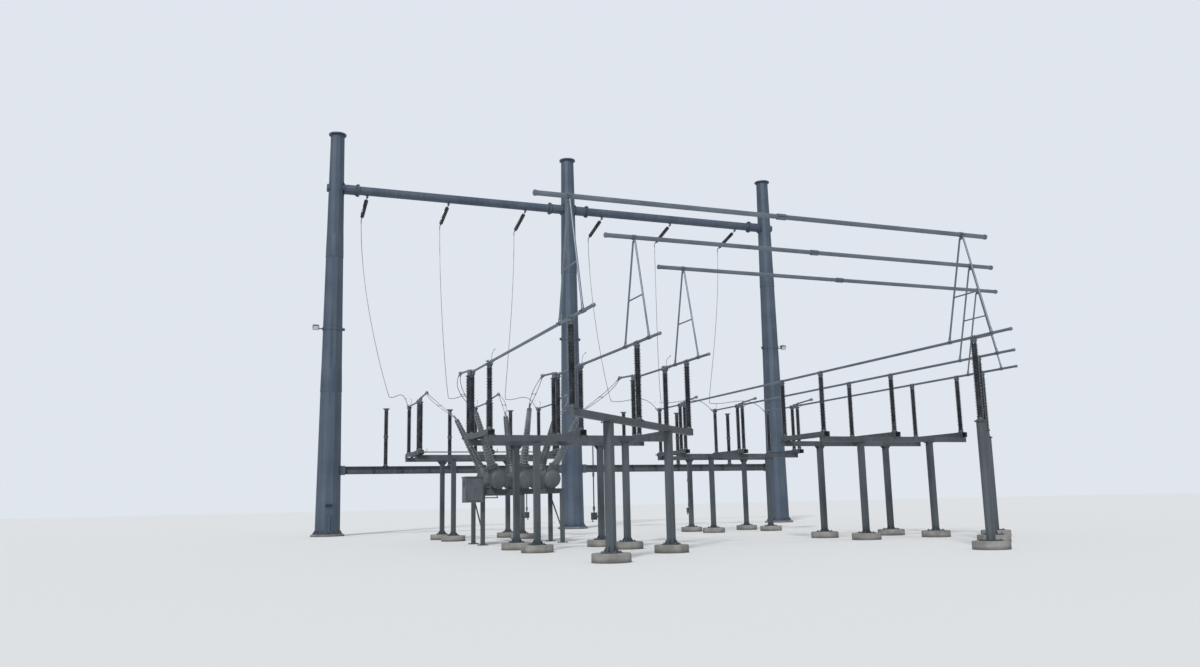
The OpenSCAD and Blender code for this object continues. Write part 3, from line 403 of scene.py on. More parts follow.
# The left pole's foot has a framed hand hole with a drip hood, and a folded guard over the cables below it
door_y = gantry_y - pole_radius(1.5) * flat
frame_bars = (block(0.46, 0.05, 0.01, 0.03, [(0, 0, -0.10), (0, 0, 0.10)], (0, -1, 0))
              + block(0.05, 0.152, 0.002, 0.03, [(-0.205, 0, 0), (0.205, 0, 0)], (0, -1, 0)))
drip_hood = plate([(0.005, 0), (0.005, 0.05), (-0.015, 0.075), (-0.024, 0.068), (-0.006, 0.044), (-0.006, 0)],
                  0.48, 0.002).at(facing((0, 0.005, 0.128), (1, 0, 0), (0, 0, 1)))
cover = block(0.37, 0.16, 0.01, 0.012, (0, 0.002, 0), (0, -1, 0))
guard_inside = [(-0.085, -0.02), (-0.085, 0.03), (-0.066, 0.085),
                (0.066, 0.085), (0.085, 0.03), (0.085, -0.02)]
guard_outside = [(0.10, -0.02), (0.10, 0.03), (0.075, 0.10), (-0.075, 0.10), (-0.10, 0.03), (-0.10, -0.02)]
cable_guard = plate(guard_inside + guard_outside, 0.95, 0.002).at(
    facing((0, 0, -1.02), (0, 0, 1), (-1, 0, 0)))
cover_bolts = bolts(0.014, grid((-0.205, 0.205), -0.015, (-0.10, 0.10)), (0, -1, 0))
hand_hole = facing((pole_x[0], door_y, 1.72))
piece("hand_hole", [
    ((frame_bars + drip_hood + cable_guard).at(hand_hole), pole_zinc), (cover.at(hand_hole), shadow_black),
    (cover_bolts.at(hand_hole), bolt_zinc)])
piece("pole_fittings", [
    (foot_ribs.at(ground) + together(sleeves).at(ground) + ear.at(ear_places) + together(stub_ribs)
     + together(collars), pole_zinc),
    (anchors.at(ground) + ear_nuts.at(ear_places) + together(joint_nuts), bolt_zinc)])
coat(pole_zinc, "gantry_pole_left", "gantry_pole_middle", "gantry_pole_right")

# Strain beams and lower beams
# Rolled tube and welded I-sections, galvanised; girth welds, end-plate bolts and the lugs' pad plates show.
BEAM_LENGTH, BELL_RADIUS = 12.5, 0.125
girths = np.array([x + third * BEAM_LENGTH for x in (pole_x[0] + STUB_REACH, STUB_REACH)
                   for third in (0.33, 0.67)])
weld = turned([(0.266, -0.012), (0.274, -0.006), (0.275, 0.0), (0.274, 0.006), (0.266, 0.012)], 32)
LOWER_Z, BRACKET = 3.78, 0.885
bolt_y, bolt_z = gantry_y + np.array([-0.1, 0.1]), LOWER_Z + np.array([-0.16, -0.05, 0.05, 0.16])
lower_nuts = [bolts(0.024, grid(x + way * (BRACKET + 0.03), bolt_y, bolt_z), (way, 0, 0))
              for x, way in zip(pole_x[[0, 1, 1, 2]], (1, -1, 1, -1))]
string_x = {}
for side in ("left", "right"):
    low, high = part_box("strain_insulators_" + side)
    string_x[side] = np.linspace(low.x + BELL_RADIUS, high.x - BELL_RADIUS, 3)
lugs = np.concatenate(list(string_x.values()))
pads = block(0.2, 0.2, 0.03, 0.012, grid(lugs, gantry_y, BEAM_Z - 0.272))
piece("beam_fittings", [
    (weld.at(facing(grid(girths, gantry_y, BEAM_Z), (1, 0, 0))) + pads, pole_zinc),
    (together(lower_nuts), bolt_zinc)])
coat(pole_zinc, "strain_beam_left", "strain_beam_right")
coat(galvanised_steel, "gantry_lower_beams")

# Strain insulator strings
# Cap-and-pin bells of dark glazed porcelain with ribbed undersides, each cap and pin of galvanised iron,
# hung from a shackle at the beam's lug and ending in a compression dead-end clamp of aluminium.
place = surface("porcelain_glaze")
dust = place.noise(3.0, 4.0)
film = place.noise(14.0, 3.0, (1.0, 1.0, 0.3))
tone = (dust * 0.6 + film * 0.4).ramp((0.40, 0.0), (0.66, 1.0))
glaze = tone.between((0.014, 0.018, 0.024, 1.0), (0.055, 0.063, 0.074, 1.0))
porcelain_glaze = finish("porcelain_glaze", glaze, tone.make("ShaderNodeRGBToBW", i0=tone) * 0.35 + 0.16, 0.0,
                         film, 0.0003, Coat_Weight=0.35)

place = surface("weathered_aluminium")
cloud = place.noise(1.3, 5.0)
drawn = place.noise(30.0, 2.0, (0.15, 1.0, 1.0))
tone = (cloud * 0.7 + drawn * 0.3).ramp((0.22, 0.0), (0.78, 1.0))
skin = tone.between((0.105, 0.130, 0.158, 1.0), (0.215, 0.250, 0.290, 1.0))
weathered_aluminium = finish("weathered_aluminium", skin, drawn * 0.25 + 0.32, 0.7, drawn, 0.0003)

LUG_Z, STRING_SLOPE, STRING_LENGTH = 20.63, np.radians(14), 2.8
along_string = np.array([0, np.cos(STRING_SLOPE), -np.sin(STRING_SLOPE)])
lug_places = facing(grid(lugs, gantry_y, LUG_Z), along_string)
straps = block(0.09, 0.22, 0.042, 0.024, [(-0.0275, 0, 0.03), (0.0275, 0, 0.03)], (1, 0, 0))
shackle_nuts = bolts(0.034, [(-0.04, 0, 0), (0.04, 0, 0)], [(-1, 0, 0), (1, 0, 0)])
eye = turned([(0.02, 0.10), (0.034, 0.12), (0.034, 0.16), (0.022, 0.18), (0.022, 0.33), (0.036, 0.35),
              (0.036, 0.38)], 16)
bells = facing(grid(0.0, 0.0, 0.38 + 0.146 * np.arange(14)))
cap = turned([(0.018, -0.002), (0.036, 0.0), (0.046, 0.012), (0.049, 0.058), (0.035, 0.064)], 16)
pin = turned([(0.02, 0.088), (0.014, 0.10), (0.014, 0.146)], 10)
bell = turned([(0.040, 0.056), (0.085, 0.060), (0.113, 0.072), (0.125, 0.090), (0.124, 0.101), (0.114, 0.094),
               (0.106, 0.106), (0.094, 0.093), (0.084, 0.106), (0.070, 0.092), (0.056, 0.104), (0.034, 0.088),
               (0.016, 0.090)], 24)
clamp = turned([(0.016, 2.42), (0.034, 2.44), (0.034, 2.62), (0.027, 2.66), (0.027, 2.765), (0.030, 2.77),
                (0.031, 2.785), (0.027, 2.797), (0.015, 2.80)], 16)
palm = block(0.09, 0.11, 0.012, 0.016, (0, 0.058, 2.53), (1, 0, 0))
palm_nuts = bolts(0.014, grid(0.008, (0.035, 0.075), (2.51, 2.55)), (1, 0, 0))
piece("strain_strings", [
    ((straps + eye).at(lug_places) + (cap + pin).at(bells).at(lug_places), galvanised_steel),
    (bell.at(bells).at(lug_places), porcelain_glaze),
    ((clamp + palm).at(lug_places), weathered_aluminium),
    ((shackle_nuts + palm_nuts).at(lug_places), bolt_zinc)],
    replaces=("strain_insulators_left", "strain_insulators_right"))

# Line arresters on the lower beams
# Two stacked housings of dark porcelain with close alternating sheds, cast flanges between them and a flat
# cap disc on top, each bolted straight down to the beam through its cast foot.


def sheds(bottom, top, core, rims, pitch):
    """Profile of a stack of sheds, the rims of two sizes in turn: every pitch the wall goes out under a
    shed to its drooping rim and comes back in along the slope of its upper face."""
    count = int(round((top - bottom) / pitch))
    step = (top - bottom) / count
    rim = np.where(np.arange(count) % 2 == 0, rims[0], rims[1])[:, None]
    out = np.array([0.0, 0.92, 1.0, 0.98, 0.14])
    up = np.array([0.38, 0.16, 0.20, 0.30, 0.72])
    radius = core + (rim - core) * out
    height = bottom + (np.arange(count)[:, None] + up) * step
    waves = np.stack([radius, height], axis=-1).reshape(-1, 2)
    return np.concatenate([[[core, bottom]], waves, [[core, top]]])


low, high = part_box("line_arresters")
CAP_RADIUS, ARRESTER_PITCH = 0.2, 3.88
from_end = CAP_RADIUS + ARRESTER_PITCH * np.arange(3)
arrester_x = np.concatenate([low.x + from_end, high.x - from_end])
arrester_feet = facing(grid(arrester_x, gantry_y, LOWER_Z + 0.225))
housing = together([turned(sheds(bottom, top, 0.100, (0.145, 0.124), 0.052), 26)
                    for bottom, top in ((0.14, 1.68), (1.84, 3.32))])
castings = (turned([(0.165, 0.0), (0.165, 0.03), (0.118, 0.05), (0.112, 0.15), (0.095, 0.155)], 26)
            + turned([(0.095, 1.665), (0.115, 1.67), (0.118, 1.72), (0.145, 1.725), (0.145, 1.795),
                      (0.118, 1.80), (0.115, 1.85), (0.095, 1.855)], 26)
            + turned([(0.095, 3.305), (0.115, 3.31), (0.118, 3.38), (0.14, 3.39), (0.14, 3.41)], 26))
cap_disc = turned([(0.185, 3.41), (0.20, 3.418), (0.20, 3.462), (0.185, 3.47)], 32)
arrester_nuts = (bolt_ring(0.02, (0, 0, 0.03), (0, 0, 1), 0.145, 4, np.radians(45))
                 + bolt_ring(0.014, (0, 0, 1.795), (0, 0, 1), 0.13, 8)
                 + bolt_ring(0.014, (0, 0, 1.725), (0, 0, -1), 0.13, 8))
piece("arresters", [
    (housing.at(arrester_feet), porcelain_glaze), (castings.at(arrester_feet), galvanised_steel),
    (cap_disc.at(arrester_feet), weathered_aluminium), (arrester_nuts.at(arrester_feet), bolt_zinc)],
    replaces=("line_arresters",))

# Floodlights on the outer poles
# A cast housing with cooling fins and a bezel over its glass, tipped down in a strap yoke on a box arm.
place = surface("grey_paint")
cloud = place.noise(1.1, 4.0)
drip = place.noise(9.0, 4.0, (1.0, 1.0, 0.08))
tone = (cloud * 0.5 + drip * 0.5).ramp((0.36, 0.0), (0.66, 1.0))
grey_paint = finish("grey_paint", tone.between((0.056, 0.070, 0.080, 1.0), (0.100, 0.117, 0.129, 1.0)),
                    drip * 0.2 + 0.42, 0.0, drip, 0.0004)

place = surface("lamp_glass")
smear = place.noise(18.0, 3.0)
lamp_glass = finish("lamp_glass", smear.ramp((0.3, 0.0), (0.7, 1.0)).between(
    (0.55, 0.6, 0.63, 1.0), (0.72, 0.76, 0.78, 1.0)), smear * 0.1 + 0.08, 0.0, Coat_Weight=0.5)

lamp_x = pole_x[2] + pole_radius(BAND_Z) + 0.03
lamp_out = (0, -np.cos(np.radians(35)), -np.sin(np.radians(35)))
both = np.array([-1, 1])
lamp_shell = (block(0.34, 0.28, 0.03, 0.15, (0, 0, 0), ease=0.012)
              + block(0.36, 0.30, 0.03, 0.022, (0, 0, 0.085), ease=0.005))
lamp_fins = block(0.24, 0.05, 0.01, 0.005, grid(np.linspace(-0.13, 0.13, 9), 0, -0.09), (1, 0, 0), ease=0.001)
lamp_pane = block(0.30, 0.24, 0.02, 0.006, (0, 0, 0.099), ease=0.001)
yoke = (block(0.05, 0.26, 0.015, 0.008, [(-0.182, 0, -0.06), (0.182, 0, -0.06)], (1, 0, 0), ease=0.002)
        + block(0.372, 0.05, 0.01, 0.008, (0, 0, -0.19), ease=0.002))
yoke_nuts = bolts(0.016, [(-0.186, 0, 0), (0.186, 0, 0)], [(-1, 0, 0), (1, 0, 0)])
lamps_at = facing(grid(both * (lamp_x + 0.38), gantry_y - 0.14, BAND_Z + 0.06), lamp_out)
arm = block(0.34, 0.06, 0.008, 0.06, grid(both * (lamp_x + 0.15), gantry_y, BAND_Z), ease=0.006)
arm_plate = block(0.12, 0.16, 0.015, 0.012, grid(both * (lamp_x + 0.01), gantry_y, BAND_Z), (1, 0, 0))
piece("floodlights", [
    ((lamp_shell + lamp_fins + yoke).at(lamps_at), grey_paint), (lamp_pane.at(lamps_at), lamp_glass),
    (arm + arm_plate, galvanised_steel), (yoke_nuts.at(lamps_at), bolt_zinc)],
    replaces=("lamps",))

# Drop conductors
# Stranded aluminium, twisted in one layer over its core and pressed into a barrel at both ends. Each falls
# from its string to a knee over the yard and runs on from there to a switch's jaw.


def cubic(points, share):
    """Points of a cubic curve through its two ends, drawn by its two handles."""
    points, share = np.asarray(points, float), share[:, None]
    return ((1 - share) ** 3 * points[0] + 3 * share * (1 - share) ** 2 * points[1]
            + 3 * share ** 2 * (1 - share) * points[2] + share ** 3 * points[3])


def swept(path, radius, lobes=6, lay=0.3, deep=0.0022):
    """A stranded round along a path: in the plane square to the path the radius swells in one lobe per
    strand, and the lobes turn once round in every lay of length."""
    step = np.linalg.norm(np.diff(path, axis=0), axis=1)
    run = np.r_[0, np.cumsum(step)]
    count = max(int(run[-1] / lay * 9), 12)
    even = np.linspace(0, run[-1], count)
    path = np.stack([np.interp(even, run, path[:, axis]) for axis in range(3)], axis=-1)
    along = np.gradient(path, axis=0)
    along /= np.linalg.norm(along, axis=1, keepdims=True)
    first = np.cross(along, (1, 0, 0))
    first /= np.linalg.norm(first, axis=1, keepdims=True)
    second = np.cross(along, first)
    angle = np.arange(2 * lobes) * np.pi / lobes
    size = radius - deep * (np.arange(2 * lobes) % 2)
    spin = angle + (even / lay * 2 * np.pi)[:, None]
    out = np.cos(spin)[..., None] * first[:, None] + np.sin(spin)[..., None] * second[:, None]
    return wrap(path[:, None] + size[:, None] * out)


def both_ends(path):
    """Places at the two ends of a path, looking into it."""
    return facing(path[[0, -1]], path[[3, -4]] - path[[0, -1]])


place = surface("stranded_aluminium")
soot = place.noise(6.0, 3.0)
stranded_aluminium = finish("stranded_aluminium", soot.ramp((0.35, 0.0), (0.65, 1.0)).between(
    (0.22, 0.23, 0.245, 1.0), (0.40, 0.41, 0.42, 1.0)), soot * 0.2 + 0.35, 0.6)

PHASE, LOW_BUS_Z = 3.3, 6.42
left_x = sum(corner.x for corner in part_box("diagonal_stand_insulators")) / 2
right_x = sum(corner.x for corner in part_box("end_insulators")) / 2
phases = np.array([-1, 0, 1])
share = np.linspace(0, 1, 60)
travel, landing_way = np.array([0, -0.98, -0.17]), np.array([0, 1.6, 1.15])
KNEE_BACK, KNEE_RISE = 8.18, 1.15
strands, barrels = [], []
barrel = turned([(0.0215, 0.0), (0.028, 0.01), (0.028, 0.20), (0.0215, 0.22)], 12)
for side, line_x, switch in (("left", left_x, "rear_switch"), ("right", right_x, "right_switch")):
    terminal_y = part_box(switch + "_contacts")[1].y
    for x, line in zip(string_x[side], line_x + PHASE * phases):
        start = np.array([x, gantry_y, LUG_Z - 0.0275]) + STRING_LENGTH * along_string
        terminal = np.array([line, terminal_y + 0.012, LOW_BUS_Z])
        fall = start[2] - LOW_BUS_Z
        knee = np.array([line, start[1] - KNEE_BACK, LOW_BUS_Z + KNEE_RISE])
        landing = terminal + KNEE_RISE * landing_way
        path = np.concatenate([
            cubic([start, start - (0, 0, 0.38 * fall), knee - 0.03 * fall * travel, knee], share),
            cubic([knee, knee + 0.2 * fall * travel, landing, terminal], share)[1:]])
        strands.append(swept(path, 0.02))
        barrels.append(barrel.at(both_ends(path)))
piece("drop_conductors", [(together(strands), stranded_aluminium), (together(barrels), weathered_aluminium)],
      replaces=("drop_conductors_left", "drop_conductors_right"))

# High bus tubes
# Extruded aluminium tube with a welded plug at each end and a bolted coupler at the middle.


def strap_outline(radius, thick, ear):
    """Outline of a strap over a tube: along one ear, over in an arc, along the other ear and back."""
    angle = np.linspace(0.12, np.pi - 0.12, 15)
    arc = np.stack([np.cos(angle), np.sin(angle)], axis=-1)
    outer, inner = (radius + thick) * arc, radius * arc[::-1]
    end = radius + thick + ear
    rim = outer[0, 1]
    return np.concatenate([[(end, 0.0), (end, rim)], outer, [(-end, rim), (-end, 0.0)], inner])


cross_y = front_y + PHASE * (phases + 1)
HIGH_BUS_Z, HIGH_BUS = 9.74, 0.0705
plug = turned([(0.082, 0.0), (0.082, 0.01), (0.070, 0.022), (0.045, 0.034), (0.012, 0.038)], 24)
plugs, couplers, coupler_nuts = [], [], []
for name in ("high_bus_front", "high_bus_middle", "high_bus_rear"):
    low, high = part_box(name)
    y, middle = (low.y + high.y) / 2, (low.x + high.x) / 2
    plugs.append(plug.at(facing([(low.x, y, HIGH_BUS_Z), (high.x, y, HIGH_BUS_Z)], [(-1, 0, 0), (1, 0, 0)])))
    couplers.append(block(0.26, 0.05, 0.012, 0.026, grid(middle, y + both * 0.108, HIGH_BUS_Z)))
    spots = grid(middle + np.array([-0.09, -0.03, 0.03, 0.09]), y + both * 0.114, HIGH_BUS_Z)
    for side in both:
        coupler_nuts.append(bolts(0.016, spots + (0, 0, side * 0.013), (0, 0, side)))
piece("high_bus_fittings", [(together(plugs) + together(couplers), weathered_aluminium),
                            (together(coupler_nuts), bolt_zinc)])
coat(weathered_aluminium, "high_bus_front", "high_bus_middle", "high_bus_rear")

# Bus struts
# A-shaped pairs of aluminium tube with one rung: their heads are welded to a clamp of two shells round the
# high bus, their feet to sockets on clamps round the low bus.
STRUT_HEAD, STRUT_FOOT, STRUT_SPREAD, HEAD_SPREAD, RUNG_SHARE = 9.6295, 6.505, 0.91, 0.075, 0.42
LOW_STRAP = (0.0465, 0.013, 0.034)
strut_spots = {side: np.column_stack([line + PHASE * phases, cross_y, np.zeros(3)])
               for side, line in (("left", left_x), ("right", right_x))}
rise = STRUT_HEAD - STRUT_FOOT
rung_y = STRUT_SPREAD + (HEAD_SPREAD - STRUT_SPREAD) * RUNG_SHARE
leg_length = np.hypot(STRUT_SPREAD - HEAD_SPREAD, rise)
legs = together([
    (turned([(0.030, 0.0), (0.030, leg_length)], 16)
     + turned([(0.030, -0.012), (0.037, -0.008), (0.037, 0.085), (0.030, 0.095)], 16)
     + turned([(0.0302, 0.093), (0.034, 0.097), (0.0302, 0.101)], 16)).at(
        facing((0, side * STRUT_SPREAD, STRUT_FOOT), (0, side * (HEAD_SPREAD - STRUT_SPREAD), rise)))
    for side in (-1, 1)])
rung = turned([(0.024, -rung_y), (0.024, rung_y)], 14).at(
    facing((0, 0, STRUT_FOOT + RUNG_SHARE * rise), (0, 1, 0)))
web = plate([(-0.10, -0.02), (0.10, -0.02), (0.085, 0.085), (-0.085, 0.085)], 0.014).at(
    facing((0, 0, STRUT_HEAD - 0.03), (1, 0, 0)))
head_strap = plate(strap_outline(HIGH_BUS + 0.001, 0.012, 0.035), 0.13)
head_straps = together([head_strap.at(facing((0, 0, HIGH_BUS_Z), (1, 0, 0), (0, way, 0))) for way in both])
head_bolts = together([bolts(0.014, grid(both * 0.04, both * 0.1, HIGH_BUS_Z + 0.01 * way), (0, 0, way))
                       for way in both])
foot_strap = plate(strap_outline(*LOW_STRAP), 0.11)
foot_spots = grid(0, both * STRUT_SPREAD, LOW_BUS_Z)
foot_straps = together([foot_strap.at(facing(foot_spots, (0, -1, 0), (way, 0, 0))) for way in both])
foot_bosses = turned([(0.046, 0.05), (0.046, 0.068), (0.036, 0.085)], 16).at(facing(foot_spots))
foot_bolts = together([
    bolts(0.014, grid(both * 0.078, foot_y + both * 0.032, LOW_BUS_Z + 0.008 * way), (0, 0, way))
    for foot_y in both * STRUT_SPREAD for way in both])
for side, spots in strut_spots.items():
    at = facing(spots)
    piece("bus_strut_frames_" + side, [
        ((legs + rung + web + head_straps + foot_straps + foot_bosses).at(at), weathered_aluminium),
        ((head_bolts + foot_bolts).at(at), bolt_zinc)], replaces=("bus_struts_" + side,))

# Low bus tubes
# Slimmer tube of the same aluminium with plugged front ends; where it meets a switch it is gripped in a
# cast sleeve whose flat tongue is bolted to the switch's pad.
ROW_INSET, ROW_GAP, HINGE_PAIR, PAST_ROW, LOW_BUS_OVERHANG = 0.24, 2.5, 0.5, 0.26, 1.7
facing_way = {"left_switch": 1, "rear_switch": -1, "right_switch": -1}
line_x = {"left_switch": left_x, "rear_switch": left_x, "right_switch": right_x}
jaw_y, hinge_y = {}, {}
for name, way in facing_way.items():
    jaw_y[name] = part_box(name + "_stand")[0 if way > 0 else 1].y + ROW_INSET * way
    hinge_y[name] = jaw_y[name] + ROW_GAP * way
low_plug = turned([(0.054, 0.0), (0.054, 0.008), (0.044, 0.018), (0.026, 0.026), (0.008, 0.028)], 20)
plug_spots = np.concatenate(list(strut_spots.values())) + (0, -LOW_BUS_OVERHANG, LOW_BUS_Z)
left_ends = grid(left_x + PHASE * phases, jaw_y["left_switch"] - PAST_ROW, LOW_BUS_Z)
right_ends = grid(right_x + PHASE * phases, hinge_y["right_switch"] - HINGE_PAIR - PAST_ROW, LOW_BUS_Z)
sleeve = turned([(0.047, -0.17), (0.060, -0.16), (0.060, -0.01), (0.047, 0.0)], 20)
tongue = block(0.085, 0.14, 0.01, 0.016, (0, -0.023, 0.065), (0, 1, 0))
tongue_nuts = bolts(0.014, grid((-0.022, 0.022), -0.031, (0.035, 0.095)), (0, -1, 0))
bus_ends = facing(np.concatenate([left_ends, right_ends]), (0, 1, 0))
piece("low_bus_fittings", [
    (low_plug.at(facing(plug_spots, (0, -1, 0))) + (sleeve + tongue).at(bus_ends), weathered_aluminium),
    (tongue_nuts.at(bus_ends), bolt_zinc)])
coat(weathered_aluminium, "low_buses_left", "low_buses_right")

# Stands and columns
# Box sections of galvanised steel bolted together: cap plates under the beams, closed beam ends, angle
# clips that hold the base channels and anchor bolts through the base plates.
rows_y = {name: (jaw_y[name], hinge_y[name]) for name in jaw_y}
BUS_STAND_GAP = 2.8
bus_stand_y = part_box("bus_stand")[0].y + ROW_INSET
rows_y["bus_stand"] = (bus_stand_y, bus_stand_y + BUS_STAND_GAP)
stand_x = dict(line_x, bus_stand=right_x)
STAND_TOP, FRONT_STAND_TOP, END_COLUMN_TOP, END_PITCH = 3.94, 4.04, 3.85, 3.44
FOOT_TOP, BEAM_DEEP, BEAM_OVERHANG = 0.28, 0.2, 0.14


def over_rows(reach, z):
    """Points at each stand's rows, at reaches to the sides of its middle and at a height."""
    return np.concatenate([grid(stand_x[name] + reach, rows_y[name], z) for name in rows_y])


columns = over_rows(both * PHASE / 2, 0.0)
crossings = over_rows(PHASE * phases, STAND_TOP)
beam_ends = over_rows(both * (PHASE + BEAM_OVERHANG), STAND_TOP - BEAM_DEEP / 2)
front_spots = np.array([(left_x + PHASE * k, front_y + PHASE * (k + 1), 0.0) for k in (-0.5, 0.54)])
end_spots = np.column_stack([right_x + PHASE * phases, front_y + PHASE + END_PITCH * phases, np.zeros(3)])
feet_nuts = bolts(0.028, grid(both * 0.19, both * 0.19, FOOT_TOP))
cap_plate = block(0.30, 0.30, 0.02, 0.02, (0, 0, STAND_TOP - 0.211))
cap_nuts = bolts(0.02, grid(both * 0.125, both * 0.125, STAND_TOP - 0.221), (0, 0, -1))
clip = plate([(0, 0), (0.065, 0), (0.065, 0.01), (0.01, 0.01), (0.01, 0.08), (0, 0.08)], 0.18, 0.002)
clips = clip.at(facing([(0.13, 0, 0), (-0.13, 0, 0)], [(0, -1, 0), (0, 1, 0)], [(1, 0, 0), (-1, 0, 0)]))
clip_nuts = bolts(0.016, grid(both * 0.165, both * 0.05, 0.01))
end_plate = block(0.21, 0.21, 0.012, 0.012, beam_ends, (1, 0, 0))
slant = np.array([1, 1, 0]) / np.sqrt(2)
slant_reach = PHASE * np.sqrt(2) + BEAM_OVERHANG
slant_middle = np.array([left_x, front_y + PHASE, FRONT_STAND_TOP - BEAM_DEEP / 2])
slant_plates = block(0.21, 0.21, 0.012, 0.012, slant_middle + slant * slant_reach * both[:, None], slant)
front_cap = block(0.34, 0.34, 0.02, 0.02, (0, 0, FRONT_STAND_TOP - 0.211))
front_cap_nuts = bolts(0.02, grid(both * 0.144, both * 0.144, FRONT_STAND_TOP - 0.221), (0, 0, -1))
end_nuts = bolt_ring(0.02, (0, 0, END_COLUMN_TOP - 0.03), (0, 0, -1), 0.158, 8)
diagonal_spots = np.column_stack([left_x + PHASE * phases, cross_y, np.full(3, FRONT_STAND_TOP)])
saddle_plates = block(0.27, 0.27, 0.02, 0.014, diagonal_spots - (0, 0, 0.004), (0, 0, 1), slant)
standing, slanted = facing(columns), facing(front_spots, (0, 0, 1), slant)
ends_at, crossings_at = facing(end_spots), facing(crossings)
# The diagonal stand is two slimmer box columns, with gussets at their feet, under one long box beam
slant_beam = block(BEAM_DEEP, BEAM_DEEP, 0.018, 2 * slant_reach, slant_middle, slant, (0, 0, 1), 0.004)
column_top = FRONT_STAND_TOP - BEAM_DEEP
front_column = block(0.24, 0.24, 0.02, column_top - FOOT_TOP, (0, 0, (column_top + FOOT_TOP) / 2), ease=0.004)
front_base = block(0.48, 0.48, 0.02, 0.03, (0, 0, FOOT_TOP - 0.015))
gusset = plate([(0, 0), (0, 0.11), (0.02, 0.11), (0.17, 0.015), (0.17, 0)], 0.012)
front_gussets = gusset.at(fins((0, 0, FOOT_TOP), (0, 0, 1), 0.119, 4))
piece("diagonal_stand_frame", [
    (slant_beam + (front_column + front_base + front_gussets).at(slanted), galvanised_steel)],
    replaces=("diagonal_stand",))
piece("stand_fittings", [
    (cap_plate.at(standing) + clips.at(crossings_at) + end_plate + front_cap.at(slanted) + saddle_plates
     + slant_plates, galvanised_steel),
    ((feet_nuts + cap_nuts).at(standing) + feet_nuts.at(ends_at) + (feet_nuts + front_cap_nuts).at(slanted)
     + clip_nuts.at(crossings_at) + end_nuts.at(ends_at), bolt_zinc)])
coat(galvanised_steel, "end_columns", "bus_stand", "left_switch_stand", "rear_switch_stand",
     "right_switch_stand")

# Concrete footings
# Round piers cast in tube forms: grey and sandy, with painted shade that darkens their sides towards the
# ground.
place = surface("cast_concrete")
cloud = place.noise(2.5, 5.0)
sand = place.noise(70.0, 2.0)
height_up = place.make("ShaderNodeSeparateXYZ", out=2, i0=place)
# Painted shade: a mask that rises with height darkens the lower sides of the piers to stand in for their
# shaded sides, leaving the tops bare concrete.
pier_side_shade = (cloud * 0.25 + height_up * 2.5).ramp((0.12, 0.0), (0.45, 1.0))
bare_concrete = cloud.ramp((0.35, 0.0), (0.65, 1.0)).between((0.18, 0.177, 0.167, 1.0), (0.29, 0.284, 0.265, 1.0))
painted_shade_colour = (0.085, 0.082, 0.076, 1.0)
pier = pier_side_shade.make("ShaderNodeMix", {"data_type": "RGBA"}, out=2, i0=pier_side_shade, i6=painted_shade_colour, i7=bare_concrete)
cast_concrete = finish("cast_concrete", pier, sand * 0.2 + 0.75, 0.0, sand, 0.003)
coat(cast_concrete, "gantry_footings", "stand_footings_left", "stand_footings_right")

# Post insulators
# Station posts of dark glazed porcelain, close sheds of two sizes, cemented into flared metal feet and
# caps; those under the low bus carry a cast saddle and a strap that grip its tube.


def post(height):
    """Porcelain and metal of a post insulator of a height."""
    stack = turned(sheds(0.10, height - 0.08, 0.072, (0.114, 0.102), 0.054), 24)
    foot = turned([(0.125, 0.0), (0.125, 0.016), (0.104, 0.026), (0.090, 0.05), (0.088, 0.105),
                   (0.070, 0.112)], 24)
    head = turned([(0.070, height - 0.092), (0.084, height - 0.086), (0.084, height - 0.022),
                   (0.094, height - 0.016), (0.094, height)], 24)
    return stack, foot + head, bolt_ring(0.016, (0, 0, 0.016), (0, 0, 1), 0.107, 4, np.radians(45))


def posts(name, spots, height, solid, clamped=False):
    """Post insulators at spots, with bus clamps over them where they hold a tube."""
    stack, metal, nuts = post(height)
    at = facing(spots)
    parts = [(stack.at(at), porcelain_glaze), (metal.at(at), galvanised_steel), (nuts.at(at), bolt_zinc)]
    if clamped:
        bus = facing(spots + (0, 0, height + 0.105), (0, -1, 0), (1, 0, 0))
        saddle = plate([(0.085, -0.105), (0.085, -0.085), (0.055, -0.07), (0.062, -0.004), (-0.062, -0.004),
                        (-0.055, -0.07), (-0.085, -0.085), (-0.085, -0.105)], 0.15, 0.006)
        strap = plate(strap_outline(*LOW_STRAP), 0.055).at(facing([(0, 0, -0.045), (0, 0, 0.045)]))
        grip = bolts(0.014, grid((-0.08, 0.08), 0.012, (-0.045, 0.045)), (0, 1, 0))
        ledge = plate([(-0.095, -0.018), (-0.095, 0.0), (0.095, 0.0), (0.095, -0.018)], 0.15, 0.004)
        parts += [((saddle + strap + ledge).at(bus), weathered_aluminium), (grip.at(bus), bolt_zinc)]
    piece(name, parts, replaces=(solid,))


POST_TOP, CHANNEL_TOP = 6.315, STAND_TOP + 0.19
posts("diagonal_posts", diagonal_spots, POST_TOP - FRONT_STAND_TOP, "diagonal_stand_insulators", True)
posts("end_posts", end_spots + (0, 0, END_COLUMN_TOP), POST_TOP - END_COLUMN_TOP, "end_insulators", True)
posts("bus_stand_posts", grid(right_x + PHASE * phases, rows_y["bus_stand"], CHANNEL_TOP),
      POST_TOP - CHANNEL_TOP, "bus_stand_insulators", True)
for name, way in facing_way.items():
    three = (jaw_y[name], hinge_y[name], hinge_y[name] + HINGE_PAIR * way)
    posts(name + "_posts", grid(line_x[name] + PHASE * phases, three, CHANNEL_TOP),
          POST_TOP - CHANNEL_TOP, name + "_insulators")

